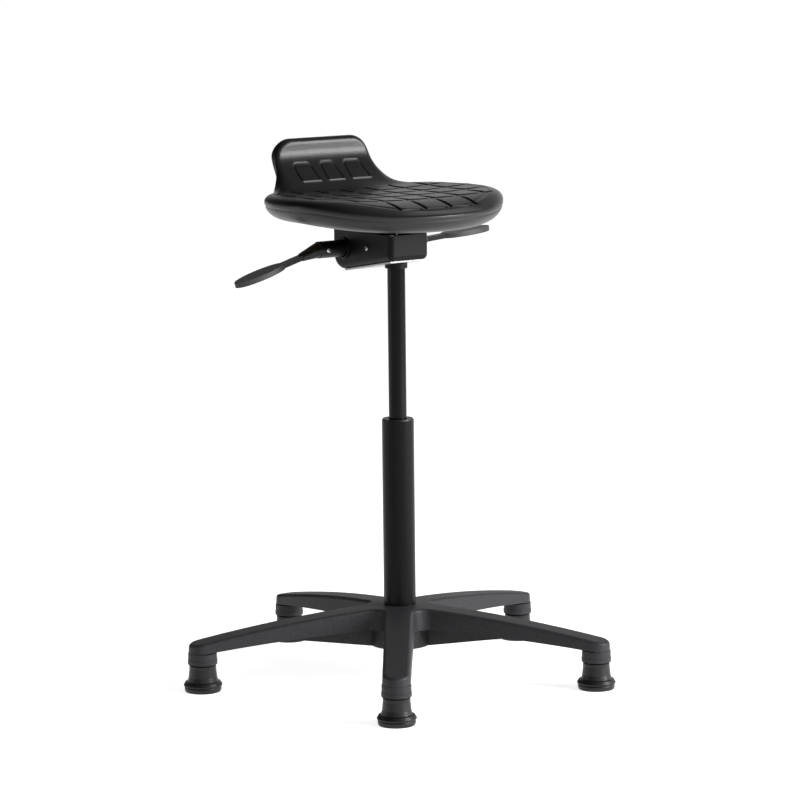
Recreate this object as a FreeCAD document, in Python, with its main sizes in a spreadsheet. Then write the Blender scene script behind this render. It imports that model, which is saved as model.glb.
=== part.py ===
import FreeCAD, Part
import Sketcher
import os
import re
from math import asin, copysign, cos, hypot, pi, radians, sin

# Perch stool on a five-legged glide base, with a gas lift and a tilting moulded seat.
# Millimetres and degrees. Z is up and the origin lies on the floor under the column.
# The seat faces -Y, so the sitter's right hand is on the -X side.

LEGS = 5

SIZES = {
    # star base
    "glide_circle": 319,
    "hub_rise": 73,
    "leg_mid_rise": 56.4,
    "leg_end_rise": 26,
    "leg_root_under_rise": 38,
    "leg_mid_under_rise": 30.9,
    "leg_end_under_rise": 13,
    "leg_root_half": 27,
    "leg_top_root_half": 22.5,
    "leg_top_end_half": 18.6,
    "socket_radius": 22.3,
    "socket_gap": 1.5,
    "band_height": 6.5,
    "band_stand": 0.6,
    "web_round": 20,
    "leg_edge_round": 5,
    "leg_wall": 4,
    "rib_wall": 4,
    "rib_reach": 205,
    "skirt_radius": 46,
    "skirt_rise": 7,
    "skirt_wall": 4,
    "bore_wall": 6,
    "hub_roof": 12,
    "edge_break": 1,
    # bell glides
    "glide_top_radius": 20.7,
    "glide_waist_radius": 23,
    "glide_flange_radius": 29.8,
    "glide_foot_radius": 27.5,
    "glide_flange_top": 15,
    "glide_flange_slope": 2.6,
    "glide_waist_stand": 0.6,
    "glide_waist_rise": 8,
    "glide_shoulder": 6,
    "glide_flange_mid": 10,
    "glide_foot_rise": 3,
    "glide_crease": 7.5,
    "glide_crease_depth": 0.6,
    "glide_bell_top": 41.5,
    "stem_radius": 5.5,
    "stem_depth": 22,
    "stem_seat": 12,
    "grip_radius": 6.2,
    "grip_height": 4,
    # column
    "tube_radius": 25,
    "tube_wall": 1.8,
    "tube_exposed": 290,
    "tube_inset": 2,
    "tube_taper": 1.3,
    "tube_floor": 4,
    "bush_length": 61,
    "bush_flange": 2,
    "bush_flange_radius": 24.3,
    "bush_lead": 0.6,
    "lift_stroke": 230,
    "stop_gap": 5,
    "cylinder_radius": 14,
    "cylinder_wall": 2,
    "cylinder_inside": 74,
    "cylinder_stand": 2,
    "cylinder_taper": 0.9,
    "cylinder_lip": 2,
    "cylinder_cap": 4,
    "taper_rise": 3,
    "rod_radius": 5,
    "rod_end_radius": 4,
    "rod_tail": 5,
    "piston_radius": 11.9,
    "piston_height": 12,
    "seal_depth": 2,
    "piston_gap": 4,
    "seal_height": 3,
    "guide_height": 12,
    "guide_inset": 2,
    "washer_radius": 12,
    "washer_height": 2,
    "ball_radius": 1.95,
    "ball_circle": 8,
    "ball_count": 10,
    "cage_height": 2,
    "cage_inset": 1,
    "bump_radius": 9.5,
    "bump_height": 20,
    "clip_radius": 9,
    "clip_height": 1.5,
    "valve_inset": 3,
    "pin_radius": 3,
    "pin_stand": 7,
    "pin_length": 26,
    "pin_room": 6,
    "run_gap": 0.05,
    "free_gap": 0.3,
    # mechanism housing
    "box_half": 37,
    "box_front": 37,
    "box_back": 122,
    "box_top_rise": 54,
    "box_front_rise": 15,
    "box_back_drop": 12.6,
    "box_wall": 2.5,
    "box_back_round": 25,
    "box_front_round": 8,
    "box_corner_round": 9,
    "socket_wall": 3.5,
    "socket_length": 47,
    "plate_under_half": 33,
    "plate_under_front": 33,
    "plate_under_back": 92,
    "plate_under_wall": 2.5,
    "plate_under_hole_room": 20,
    # seat tilt
    "pivot_back": 26,
    "pivot_rise": 31,
    "axle_radius": 6,
    "axle_bush_radius": 8,
    "screw_head_radius": 4.2,
    "screw_head_height": 2.6,
    "screw_radius": 2.5,
    "screw_depth": 14,
    "screw_slot_share": 0.5,
    "screw_rim_share": 0.4,
    "head_top_share": 0.6,
    "ear_wall": 2.5,
    "ear_gap": 0.5,
    "ear_eye_radius": 13,
    "ear_half_length": 30,
    "seat_plate_gap": 15,
    "seat_plate_wall": 3,
    "seat_plate_half": 78,
    "seat_plate_front": 62,
    "seat_plate_back": 118,
    "seat_plate_round": 16,
    "tilt_range": 12,
    "spring_wire": 2,
    "spring_space": 0.6,
    "spring_turns": 7,
    "spring_start": -16,
    # tilt clamp
    "clamp_wall_gap": 1.9,
    "quadrant_wall": 3,
    "quadrant_edge": 5,
    "clamp_back": 64,
    "clamp_rise": 25,
    "clamp_radius": 4,
    "clamp_head_radius": 6.5,
    "clamp_head_height": 4,
    "friction_wall": 2.6,
    "friction_radius": 9,
    "friction_gap": 0.1,
    "bracket_wall": 6.3,
    "bracket_front": 54,
    "bracket_step": 77,
    "bracket_back": 93,
    "bracket_high_rise": 37,
    "bracket_low_rise": 14,
    "disc_height": 4,
    "disc_wall": 1,
    "nut_height": 4.6,
    "nut_corner": 0.3,
    "plunger_radius": 3,
    "plunger_length": 16,
    "plunger_room": 3,
    # levers
    "lever_back": 89,
    "lever_rise": 26,
    "ring_radius": 17,
    "ring_shank": 15.7,
    "ring_bore": 14.2,
    "lever_pin_radius": 1.5,
    "lever_pin_reach": 15.2,
    "ring_stand": 3,
    "sleeve_radius": 13.25,
    "sleeve_length": 50,
    "sleeve_round": 2,
    "lever_rod_radius": 5,
    "lever_rod_past": 0.5,
    "lever_rod_over": 1.85,
    "rivet_out": 36,
    "rivet_radius": 2.5,
    "rivet_head_radius": 4,
    "rivet_head_height": 1.6,
    "lift_drop": 16.2,
    "tilt_rise": 4.9,
    "bend_out": 48,
    "boot_start": 2,
    "boot_length": 31,
    "boot_wide": 25,
    "boot_wide_height": 23,
    "boot_narrow": 17,
    "boot_narrow_height": 12,
    "neck_width": 15,
    "neck_height": 7,
    "neck_length": 80,
    "paddle_start": 66,
    "paddle_length": 92,
    "paddle_width": 38,
    "paddle_height": 8,
    "paddle_crown_length": 57,
    "paddle_crown_width": 28.5,
    "paddle_crown_height": 6.2,
    "trigger_wall": 3,
    "trigger_width": 12,
    "trigger_inset": 5.5,
    "trigger_edge": 3,
    # seat
    "insert_height": 10,
    "insert_half": 115,
    "insert_front": 85,
    "insert_back": 140,
    "insert_round": 40,
    "bolt_radius": 3,
    "bolt_head_radius": 5,
    "bolt_head_height": 4,
    "bolt_half": 58,
    "bolt_front": 38,
    "bolt_back": 92,
    "bolt_washer_radius": 8,
    "bolt_washer_height": 1.5,
    "nut_barrel_radius": 4.5,
    "nut_barrel_height": 9,
    "seat_half": 190,
    "seat_front": 143,
    "seat_back": 190,
    "seat_square_front": 1.95,
    "seat_square_back": 2.25,
    "seat_nose_drop": 5,
    "seat_tail_rise": 9,
    "seat_under_rise": 1,
    "seat_margin": 10,
    "seat_wide_front_rise": 29,
    "seat_wide_back_rise": 36,
    "seat_nose_rise": 31,
    "seat_slope_rise": 40.5,
    "seat_slope_front": 80,
    "seat_middle_rise": 47,
    "seat_rim_rise": 49,
    "seat_brim_rise": 55,
    "seat_dish_rise": 41.5,
    "seat_dish_back": 30,
    "seat_dish_radius": 2100,
    "seat_under_inset": 33,
    "seat_cheek_inset": 10,
    "seat_cheek_share": 0.3,
    "seat_shoulder_inset": 5,
    "seat_shoulder_share": 0.5,
    "seat_brim_inset": 17,
    "lip_top_rise": 122,
    "lip_half": 90,
    "lip_wall": 20,
    "lip_root_back": 184,
    "lip_foot_back": 193,
    "lip_top_back": 217,
    "lip_face_back": 189,
    "lip_face_rise": 81,
    "lip_bend_back": 158,
    "lip_bend_rise": 56,
    "lip_toe_back": 100,
    "lip_toe_rise": 40.5,
    "lip_corner": 32,
    "lip_flare": 46,
    "lip_flare_sink": 3,
    "lip_root_rise": 24,
}

# Places that follow from the sizes above.
PLACES = {
    "socket_bottom": "glide_bell_top + socket_gap",
    "hub_top": "socket_bottom + hub_rise",
    "leg_mid_top": "socket_bottom + leg_mid_rise",
    "leg_end_top": "socket_bottom + leg_end_rise",
    "leg_root_under": "socket_bottom + leg_root_under_rise",
    "leg_mid_under": "socket_bottom + leg_mid_under_rise",
    "leg_end_under": "socket_bottom + leg_end_under_rise",
    "skirt_bottom": "socket_bottom + skirt_rise",
    "tube_bottom": "skirt_bottom + tube_inset",
    "tube_top": "hub_top + tube_exposed",
    "tube_bore": "tube_radius - tube_wall",
    "tube_end_radius": "tube_radius - tube_taper",
    "bearing_seat": "tube_bottom + tube_floor",
    "cage_seat": "bearing_seat + washer_height",
    "upper_washer_seat": "cage_seat + 2 * ball_radius + 2 * run_gap",
    "rod_shoulder": "upper_washer_seat + washer_height",
    "rod_end": "tube_bottom - rod_tail",
    "cylinder_bottom": "tube_top - cylinder_inside",
    "guide_start": "cylinder_bottom + guide_inset",
    "piston_start": "guide_start + guide_height + piston_gap",
    "piston_end": "piston_start + piston_height",
    "socket_start": "tube_top + bush_flange + lift_stroke + stop_gap",
    "socket_end": "socket_start + socket_length",
    "cylinder_top": "socket_end + cylinder_stand",
    "valve_start": "socket_start - valve_inset",
    "cylinder_bore": "cylinder_radius - cylinder_wall",
    "taper_start": "socket_start + taper_rise",
    "taper_end_radius": "cylinder_radius - cylinder_taper",
    "pin_top": "cylinder_top + pin_stand",
    "pin_bottom": "pin_top - pin_length",
    "trigger_height": "pin_top + free_gap",
    "box_top": "socket_start + box_top_rise",
    "box_front_under": "socket_start + box_front_rise",
    "box_back_under": "socket_start - box_back_drop",
    "pivot_height": "socket_start + pivot_rise",
    "clamp_height": "socket_start + clamp_rise",
    "bracket_high": "socket_start + bracket_high_rise",
    "bracket_low": "socket_start + bracket_low_rise",
    "lever_height": "socket_start + lever_rise",
    "seat_plate_height": "box_top + seat_plate_gap",
    "box_inside": "box_half - box_wall",
    "box_slope": "(box_front_under - box_back_under) / (box_front + box_back)",
    "ear_outside": "box_inside - ear_gap",
    "ear_inside": "ear_outside - ear_wall",
    "seat_plate_top": "seat_plate_height + seat_plate_wall",
    "seat_under": "seat_plate_top + seat_under_rise",
    "seat_rim_height": "seat_plate_height + seat_rim_rise",
    "lip_top": "seat_plate_height + lip_top_rise",
    "lip_root": "seat_plate_height + lip_root_rise",
    "clamp_stack": "quadrant_wall + friction_gap + friction_wall + bracket_wall + disc_height + nut_height",
    "quadrant_start": "box_inside - clamp_wall_gap - clamp_stack",
    "quadrant_end": "quadrant_start + quadrant_wall",
    "bracket_start": "quadrant_end + friction_gap + friction_wall",
    "bracket_end": "bracket_start + bracket_wall",
    "plunger_across": "bracket_start + bracket_wall / 2",
    "plunger_top": "lever_height - lever_rod_radius - free_gap",
    "sleeve_start": "box_inside",
    "sleeve_end": "box_half + sleeve_length",
    "bend": "box_half + bend_out",
    "trigger_outside": "box_half - trigger_inset",
    "lift_rod_end": "trigger_outside - 2 * trigger_wall + lever_rod_past",
    "tilt_rod_end": "plunger_across - plunger_radius - lever_rod_over",
}

doc = FreeCAD.newDocument("perch_stool")
dims = doc.addObject("Spreadsheet::Sheet", "dims")
for row, (word, number) in enumerate(SIZES.items(), start=1):
    dims.set(f"A{row}", word)
    dims.set(f"B{row}", str(number))
    dims.setAlias(f"B{row}", word)
doc.recompute()

nodes = []


def formula(text):
    """Spell a size out for the sheet: its words get the sheet's name, places their own formula."""
    def spell(match):
        word = match.group(0)
        if word in PLACES:
            return "(" + formula(PLACES[word]) + ")"
        return "dims." + word if word in SIZES else word
    return re.sub(r"[a-z]\w*", spell, str(text))


def size(text):
    """The number that a formula gives with the sheet as it is."""
    return float(dims.evalExpression(formula(text)))


def bind(item, **properties):
    """Tie properties of an object to the sheet; x, y and z are its place."""
    for name, text in properties.items():
        path = "Placement.Base." + name if name in "xyz" else name
        item.setExpression(path, formula(text))
    return item


def keep(item, label):
    """Name an object as one of the stool's own pieces."""
    item.Label = label
    nodes.append(item)
    return item


def turned(item, axis, angle):
    """Turn an object about an axis through its own origin."""
    item.Placement = FreeCAD.Placement(FreeCAD.Vector(), FreeCAD.Rotation(axis, angle))
    return item


def primitive(kind, name, **properties):
    return bind(doc.addObject("Part::" + kind, name), **properties)


def cut(name, base, *tools):
    """Cut tools away from a base, one after another."""
    for number, tool in enumerate(tools):
        result = doc.addObject("Part::Cut", name + "_cut" + str(number))
        result.Base = base
        result.Tool = tool
        base = result
    return base


def fuse(name, *pieces):
    result = doc.addObject("Part::MultiFuse", name + "_fuse")
    result.Shapes = list(pieces)
    return result


def group(name, pieces):
    result = doc.addObject("Part::Compound", name + "_group")
    result.Links = list(pieces)
    return result


X_AXIS = FreeCAD.Vector(1, 0, 0)
Y_AXIS = FreeCAD.Vector(0, 1, 0)
Z_AXIS = FreeCAD.Vector(0, 0, 1)


def sketch_in(body, role, corners):
    """A closed polygon on one of the body's planes, each corner tied to the sheet."""
    sketch = body.newObject("Sketcher::SketchObject", body.Name + "_sketch")
    plane = next(item for item in body.Origin.OriginFeatures if item.Role == role)
    sketch.AttachmentSupport = [(plane, "")]
    sketch.MapMode = "FlatFace"
    points = [FreeCAD.Vector(size(across), size(up), 0) for across, up in corners]
    for start, end in zip(points, points[1:] + points[:1]):
        sketch.addGeometry(Part.LineSegment(start, end), False)
    count = len(corners)
    for number in range(count):
        follower = (number + 1) % count
        sketch.addConstraint(Sketcher.Constraint("Coincident", number, 2, follower, 1))
    for number, (across, up) in enumerate(corners):
        for direction, text in (("DistanceX", across), ("DistanceY", up)):
            rule = Sketcher.Constraint(direction, -1, 1, number, 1, size(text))
            place = sketch.addConstraint(rule)
            sketch.setExpression(f"Constraints[{place}]", formula(text))
    return sketch


def lathe(name, corners):
    """A body turned about Z from a polygon of (radius, height) corners."""
    body = doc.addObject("PartDesign::Body", name)
    sketch = sketch_in(body, "XZ_Plane", corners)
    turn = body.newObject("PartDesign::Revolution", name + "_turn")
    turn.Profile = sketch
    turn.ReferenceAxis = (sketch, ["V_Axis"])
    turn.Angle = 360
    return body


def ring(name, inner, outer, low, high):
    """A plain turned ring, or a disc where the inner radius is nought."""
    return lathe(name, [(inner, low), (outer, low), (outer, high), (inner, high)])


def profile(name, role, corners, length, middle=False):
    """A body padded from a polygon; the pad may lie half on each side of its plane."""
    body = doc.addObject("PartDesign::Body", name)
    sketch = sketch_in(body, role, corners)
    pad = body.newObject("PartDesign::Pad", name + "_pad")
    pad.Profile = sketch
    pad.Midplane = middle
    bind(pad, Length=length)
    return body


def round_corners(body, radius):
    """Round the upright corners of a flat padded body."""
    doc.recompute()
    pad = body.Tip
    upright = [f"Edge{number}" for number, edge in enumerate(pad.Shape.Edges, start=1)
               if edge.BoundBox.XLength < 0.01 and edge.BoundBox.YLength < 0.01]
    rounding = body.newObject("PartDesign::Fillet", body.Name + "_round")
    rounding.Base = (pad, upright)
    bind(rounding, Radius=radius)
    return body


def feature(name, shape):
    """A piece whose form is worked out directly."""
    item = doc.addObject("Part::Feature", name)
    item.Shape = shape
    return item


def point(x, y, z):
    return FreeCAD.Vector(x, y, z)


# Star base: one nylon moulding with hollow legs, ribs below and a tapered bore.

def leg_angle(leg):
    """Direction of a leg in degrees from +X; no leg points forwards."""
    return 360 * (leg - 0.5) / LEGS - 90


def star_outline(root, end, corner, height):
    """Five tapering legs with round ends and concave corners between them, at one height."""
    reach = size("glide_circle")
    lean = asin((root - end) / reach)
    half = pi / LEGS
    centre = (root + corner) / sin(half + lean)
    near = centre - corner
    foot = (centre * cos(half) - corner * sin(lean), centre * sin(half) - corner * cos(lean))
    shoulder = (reach + end * sin(lean), end * cos(lean))
    edges = []

    def at(leg, along, across):
        turn = radians(leg_angle(leg))
        return point(along * cos(turn) - across * sin(turn),
                     along * sin(turn) + across * cos(turn), height)

    for leg in range(LEGS):
        right_shoulder = at(leg, shoulder[0], -shoulder[1])
        left_shoulder = at(leg, *shoulder)
        next_foot = at(leg + 1, foot[0], -foot[1])
        valley = at(leg, near * cos(half), near * sin(half))
        edges.append(Part.makeLine(at(leg, foot[0], -foot[1]), right_shoulder))
        edges.append(Part.Arc(right_shoulder, at(leg, reach + end, 0), left_shoulder).toShape())
        edges.append(Part.makeLine(left_shoulder, at(leg, *foot)))
        edges.append(Part.Arc(at(leg, *foot), valley, next_foot).toShape())
    return Part.Wire(edges)


def star_block(inset, low, high):
    """The legs' drafted sides between two heights, moved inwards by a wall."""
    rise = (high - low) / (size("hub_top") - size("socket_bottom"))
    root = size("leg_root_half") - inset
    end = size("socket_radius") - inset
    top_root = root + (size("leg_top_root_half") - size("leg_root_half")) * rise
    top_end = end + (size("leg_top_end_half") - size("socket_radius")) * rise
    corner = size("web_round") + inset
    outlines = [star_outline(root, end, corner, low), star_outline(top_root, top_end, corner, high)]
    return Part.makeLoft(outlines, True, True)


def leg_arc(root, middle, end, reach):
    """The arc through three heights along a leg, from the axis to its reach."""
    return Part.Arc(point(0, 0, root), point(reach / 2, 0, middle), point(reach, 0, end)).toShape()


def spun(edges):
    return Part.Face(Part.Wire(edges)).revolve(point(0, 0, 0), Z_AXIS, 360)


def between(upper, lower):
    """The round body between two edges that both run outwards from the axis."""
    ends = [[edge.valueAt(place) for place in edge.ParameterRange] for edge in (upper, lower)]
    return spun([upper, Part.makeLine(ends[0][1], ends[1][1]), lower,
                 Part.makeLine(ends[0][0], ends[1][0])])


def star_envelope():
    """All that lies between the arched underside and the top."""
    reach = size("glide_circle + 2 * socket_radius")
    return between(leg_arc(size("hub_top"), size("leg_mid_top"), size("leg_end_top"), reach),
                   leg_arc(size("leg_root_under"), size("leg_mid_under"), size("leg_end_under"), reach))


def hollow_envelope():
    """All that lies below the top by a wall, down past the underside."""
    reach = size("glide_circle + 2 * socket_radius")
    wall = size("leg_wall")
    floor = size("socket_bottom") - wall
    return between(leg_arc(size("hub_top") - wall, size("leg_mid_top") - wall,
                           size("leg_end_top") - wall, reach),
                   Part.makeLine(point(0, 0, floor), point(reach, 0, floor)))


def top_rim(solid):
    """The edges between a solid's wide top face and its steep sides."""
    level, steep, wide = 0.8, 0.5, 1000    # how far a face looks up, and its area

    def upwards(face):
        low_u, high_u, low_v, high_v = face.ParameterRange
        return face.normalAt((low_u + high_u) / 2, (low_v + high_v) / 2).z
    tops = [face for face in solid.Faces if upwards(face) > level and face.Area > wide]
    rim = []
    for edge in (edge for face in tops for edge in face.OuterWire.Edges):
        neighbours = [face for face in solid.Faces if any(edge.isSame(side) for side in face.Edges)]
        if any(upwards(face) < steep for face in neighbours):
            rim.append(edge)
    return rim


def make_star_base():
    low = size("socket_bottom")
    high = size("hub_top") + size("leg_wall")
    circle = size("glide_circle")
    outer = star_block(0, low, high).common(star_envelope()).Solids[0]
    outer = outer.makeFillet(size("leg_edge_round"), top_rim(outer))

    wall = size("leg_wall")
    hollow = star_block(wall, low, high).common(hollow_envelope())
    solid_places = [Part.makeCylinder(size("skirt_radius"), high)]
    for leg in range(LEGS):
        rib = Part.makeBox(circle, size("rib_wall"), high, point(0, -size("rib_wall") / 2, 0))
        boss = Part.makeCylinder(size("socket_radius"), high, point(circle, 0, 0))
        for solid in (rib, boss):
            solid_places.append(solid.rotate(point(0, 0, 0), Z_AXIS, leg_angle(leg)))
    hollow = hollow.cut(solid_places[0].multiFuse(solid_places[1:]))
    shell = outer.cut(hollow)

    parts = []
    under = size("skirt_bottom")
    skirt = Part.makeCylinder(size("skirt_radius"), size("leg_root_under") - under + wall,
                              point(0, 0, under))
    parts.append(skirt)
    for leg in range(LEGS):
        corners = [point(0, 0, under), point(size("skirt_radius"), 0, under),
                   point(size("rib_reach"), 0, size("leg_mid_under")),
                   point(0, 0, size("leg_mid_under"))]
        rib = Part.Face(Part.makePolygon(corners + corners[:1]))
        rib = rib.extrude(point(0, size("rib_wall"), 0))
        rib.translate(point(0, -size("rib_wall") / 2, 0))
        boss = Part.makeCylinder(size("socket_radius"), size("leg_end_under") - low + wall,
                                 point(circle, 0, low))
        band = Part.makeCylinder(size("socket_radius + band_stand"), size("band_height"),
                                 point(circle, 0, low))
        for solid in (rib, boss, band):
            parts.append(solid.rotate(point(0, 0, 0), Z_AXIS, leg_angle(leg)))
    shell = shell.multiFuse(parts)

    cavity_high = size("hub_top - hub_roof")
    cavity = Part.makeCylinder(size("skirt_radius - skirt_wall"), cavity_high - under + wall,
                               point(0, 0, under - wall))
    core = Part.makeCylinder(size("tube_radius + bore_wall"), cavity_high, point(0, 0, 0))
    shell = shell.cut(cavity.cut(core))
    taper = size("tube_taper") / size("hub_top - tube_bottom")
    bore_low = under - wall
    bore = Part.makeCone(size("tube_end_radius") - taper * (size("tube_bottom") - bore_low),
                         size("tube_radius"), size("hub_top") - bore_low, point(0, 0, bore_low))
    mouth = Part.makeCylinder(size("tube_radius"), size("leg_wall"), point(0, 0, size("hub_top")))
    tools = [bore, mouth]
    for leg in range(LEGS):
        hole = Part.makeCylinder(size("stem_radius"), size("stem_depth"),
                                 point(circle, 0, low))
        grip = Part.makeCylinder(size("grip_radius"), size("grip_height"),
                                 point(circle, 0, size("socket_bottom + stem_seat")))
        for solid in (hole, grip):
            tools.append(solid.rotate(point(0, 0, 0), Z_AXIS, leg_angle(leg)))
    return shell.cut(tools[0].multiFuse(tools[1:])).removeSplitter()


star_base = keep(feature("star", make_star_base()), "star_base")


# Bell glides: moulded bells on plain steel stems, pushed into the leg ends.

def around(item, leg):
    """Stand an object under a leg's end."""
    angle = leg_angle(leg)
    return bind(item, x=f"glide_circle * cos({angle})", y=f"glide_circle * sin({angle})")


stems = []
grips = []
for leg in range(LEGS):
    bell = lathe(f"glide_{leg + 1}", [
        (0, 0), ("glide_foot_radius", 0), ("glide_foot_radius + edge_break", "glide_foot_rise"),
        ("glide_foot_radius + edge_break", "glide_crease - edge_break"),
        ("glide_foot_radius + edge_break - glide_crease_depth", "glide_crease"),
        ("glide_flange_radius", "glide_flange_mid - edge_break"),
        ("glide_flange_radius", "glide_flange_mid + edge_break"),
        ("glide_flange_radius - glide_flange_slope", "glide_flange_top"),
        ("glide_waist_radius + glide_waist_stand", "glide_flange_top + edge_break"),
        ("glide_waist_radius - edge_break", "glide_flange_top + glide_waist_rise"),
        ("glide_top_radius", "glide_bell_top - glide_shoulder"),
        ("glide_top_radius", "glide_bell_top - edge_break"),
        ("glide_top_radius - edge_break", "glide_bell_top"), ("stem_radius", "glide_bell_top"),
        ("stem_radius", "stem_seat"), (0, "stem_seat")])
    keep(around(bell, leg), f"glide_bell_{leg + 1}")
    stem = primitive("Cylinder", f"stem_{leg + 1}", Radius="stem_radius",
                     Height="socket_bottom + stem_depth - stem_seat", z="stem_seat")
    stems.append(around(stem, leg))
    grip_outer = primitive("Cylinder", f"grip_outer_{leg + 1}", Radius="grip_radius",
                           Height="grip_height", z="socket_bottom + stem_seat")
    grip_inner = primitive("Cylinder", f"grip_inner_{leg + 1}", Radius="stem_radius",
                           Height="grip_height", z="socket_bottom + stem_seat")
    around(grip_outer, leg)
    around(grip_inner, leg)
    grips.append(cut(f"grip_{leg + 1}", grip_outer, grip_inner))
keep(group("stems", stems), "glide_stems")
keep(group("grips", grips), "stem_grip_rings")

# Column: a steel tube wedged in the hub, with a plastic guide bush in its top.

keep(lathe("tube", [
    ("rod_end_radius + free_gap", "tube_bottom"), ("tube_end_radius", "tube_bottom"),
    ("tube_radius", "hub_top"), ("tube_radius", "tube_top"), ("tube_bore", "tube_top"),
    ("tube_bore", "hub_top"), ("tube_end_radius - tube_wall", "bearing_seat"),
    ("rod_end_radius + free_gap", "bearing_seat")]), "column_tube")

keep(lathe("bush", [
    ("cylinder_radius + run_gap", "tube_top - bush_length"),
    ("tube_bore", "tube_top - bush_length"), ("tube_bore", "tube_top"),
    ("bush_flange_radius", "tube_top"), ("bush_flange_radius - bush_lead", "tube_top + bush_flange"),
    ("cylinder_radius + run_gap", "tube_top + bush_flange")]), "column_bush")

# Thrust bearing at the foot of the piston rod, so that the seat swivels.

keep(ring("washer_low", "rod_end_radius + free_gap", "washer_radius", "bearing_seat",
          "bearing_seat + washer_height"), "thrust_washer_lower")
keep(ring("washer_high", "rod_end_radius", "washer_radius", "upper_washer_seat",
          "rod_shoulder"), "thrust_washer_upper")

ball_height = "cage_seat + run_gap + ball_radius"
balls = []
pockets = []
for number in range(int(size("ball_count"))):
    angle = f"{number} * 360 / ball_count"
    for kind, radius in ((balls, "ball_radius"), (pockets, "ball_radius + run_gap")):
        kind.append(primitive("Sphere", f"ball_{number}_{len(kind)}", Radius=radius,
                              x=f"ball_circle * cos({angle})", y=f"ball_circle * sin({angle})",
                              z=ball_height))
keep(group("balls", balls), "bearing_balls")
cage = ring("cage", "rod_end_radius + free_gap", "washer_radius - cage_inset",
            f"{ball_height} - cage_height / 2", f"{ball_height} + cage_height / 2")
keep(cut("cage", cage, fuse("pockets", *pockets)), "bearing_cage")

# Gas lift: rod, piston and seal stay at height, and the pressure cylinder slides over them.

keep(lathe("rod", [
    (0, "rod_end"), ("rod_end_radius", "rod_end"), ("rod_end_radius", "rod_shoulder"),
    ("rod_radius", "rod_shoulder"), ("rod_radius", "piston_end"), (0, "piston_end")]),
    "piston_rod")
keep(ring("clip", "rod_end_radius", "clip_radius", "tube_bottom - free_gap - clip_height",
          "tube_bottom - free_gap"), "retaining_clip")
keep(ring("bump", "rod_radius", "bump_radius", "rod_shoulder", "rod_shoulder + bump_height"),
     "bump_stop")
seal_low = "piston_start + (piston_height - seal_height) / 2"
seal_high = "piston_start + (piston_height + seal_height) / 2"
keep(lathe("piston", [
    ("rod_radius", "piston_start"), ("piston_radius", "piston_start"),
    ("piston_radius", seal_low), ("piston_radius - seal_depth", seal_low),
    ("piston_radius - seal_depth", seal_high), ("piston_radius", seal_high),
    ("piston_radius", "piston_end"), ("rod_radius", "piston_end")]), "piston")
keep(ring("piston_ring", "piston_radius - seal_depth", "cylinder_bore - run_gap", seal_low, seal_high),
     "piston_seal")

keep(lathe("cylinder", [
    ("cylinder_bore", "guide_start"), ("cylinder_bore - cylinder_lip", "cylinder_bottom"),
    ("cylinder_radius - edge_break", "cylinder_bottom"),
    ("cylinder_radius", "cylinder_bottom + edge_break"), ("cylinder_radius", "taper_start"),
    ("taper_end_radius", "cylinder_top - edge_break"),
    ("taper_end_radius - edge_break", "cylinder_top"), ("pin_radius + run_gap", "cylinder_top"),
    ("pin_radius + run_gap", "cylinder_top - cylinder_cap"),
    ("taper_end_radius - cylinder_wall", "cylinder_top - cylinder_cap"),
    ("cylinder_bore", "taper_start")]), "pressure_cylinder")
keep(ring("guide", "rod_radius + run_gap", "cylinder_bore", "guide_start",
          "guide_start + guide_height - seal_height"), "rod_guide")
keep(ring("wiper", "rod_radius + run_gap", "cylinder_bore",
          "guide_start + guide_height - seal_height", "guide_start + guide_height"), "rod_seal")
keep(lathe("valve", [
    (0, "valve_start"), ("cylinder_bore", "valve_start"), ("cylinder_bore", "taper_start"),
    ("taper_end_radius - cylinder_wall", "cylinder_top - cylinder_cap"),
    ("pin_radius + run_gap", "cylinder_top - cylinder_cap"),
    ("pin_radius + run_gap", "pin_bottom - pin_room"), (0, "pin_bottom - pin_room")]),
    "valve_body")
keep(lathe("pin", [
    (0, "pin_bottom"), ("pin_radius", "pin_bottom"), ("pin_radius", "pin_top - edge_break"),
    ("pin_radius - edge_break", "pin_top"), (0, "pin_top")]), "valve_pin")


# Mechanism housing: a pressed steel pan, open upwards, with the taper socket welded in.

def box_under(back):
    """Formula for the height of the pan's sloping bottom at a place along it."""
    return f"box_front_under - box_slope * (box_front + ({back}))"


def pan(inset, top):
    """The pan's form moved inwards by a wall: sloping bottom, rounded ends and corners."""
    front, back = -size("box_front") + inset, size("box_back") - inset
    half = size("box_half") - inset
    corners = [point(-half, front, top), point(-half, front, size(box_under(front)) + inset),
               point(-half, back, size(box_under(back)) + inset), point(-half, back, top)]
    solid = Part.Face(Part.makePolygon(corners + corners[:1])).extrude(point(2 * half, 0, 0))

    def edges_at(y, tilted):
        """The upright or the lower cross edges of one end."""
        found = []
        for edge in solid.Edges:
            ends = [vertex.Point for vertex in edge.Vertexes]
            across = abs(ends[0].x - ends[1].x) > half
            upright = abs(ends[0].z - ends[1].z) > 1 and abs(ends[0].y - ends[1].y) < 0.01
            low = max(end.z for end in ends) < top - 1
            at_end = all(abs(end.y - y) < 0.01 for end in ends)
            if at_end and ((tilted and across and low) or (not tilted and upright)):
                found.append(edge)
        return found

    solid = solid.makeFillet(size("box_back_round") - inset, edges_at(back, True))
    solid = solid.makeFillet(size("box_front_round") - inset, edges_at(front, True))
    rounded = [edge for edge in solid.Edges if edge.BoundBox.YMax < front + size("box_front_round")
               and edge.BoundBox.XLength < 0.01 and edge.BoundBox.ZLength > 2]
    return solid.makeFillet(size("box_corner_round") - inset, rounded)


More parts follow.
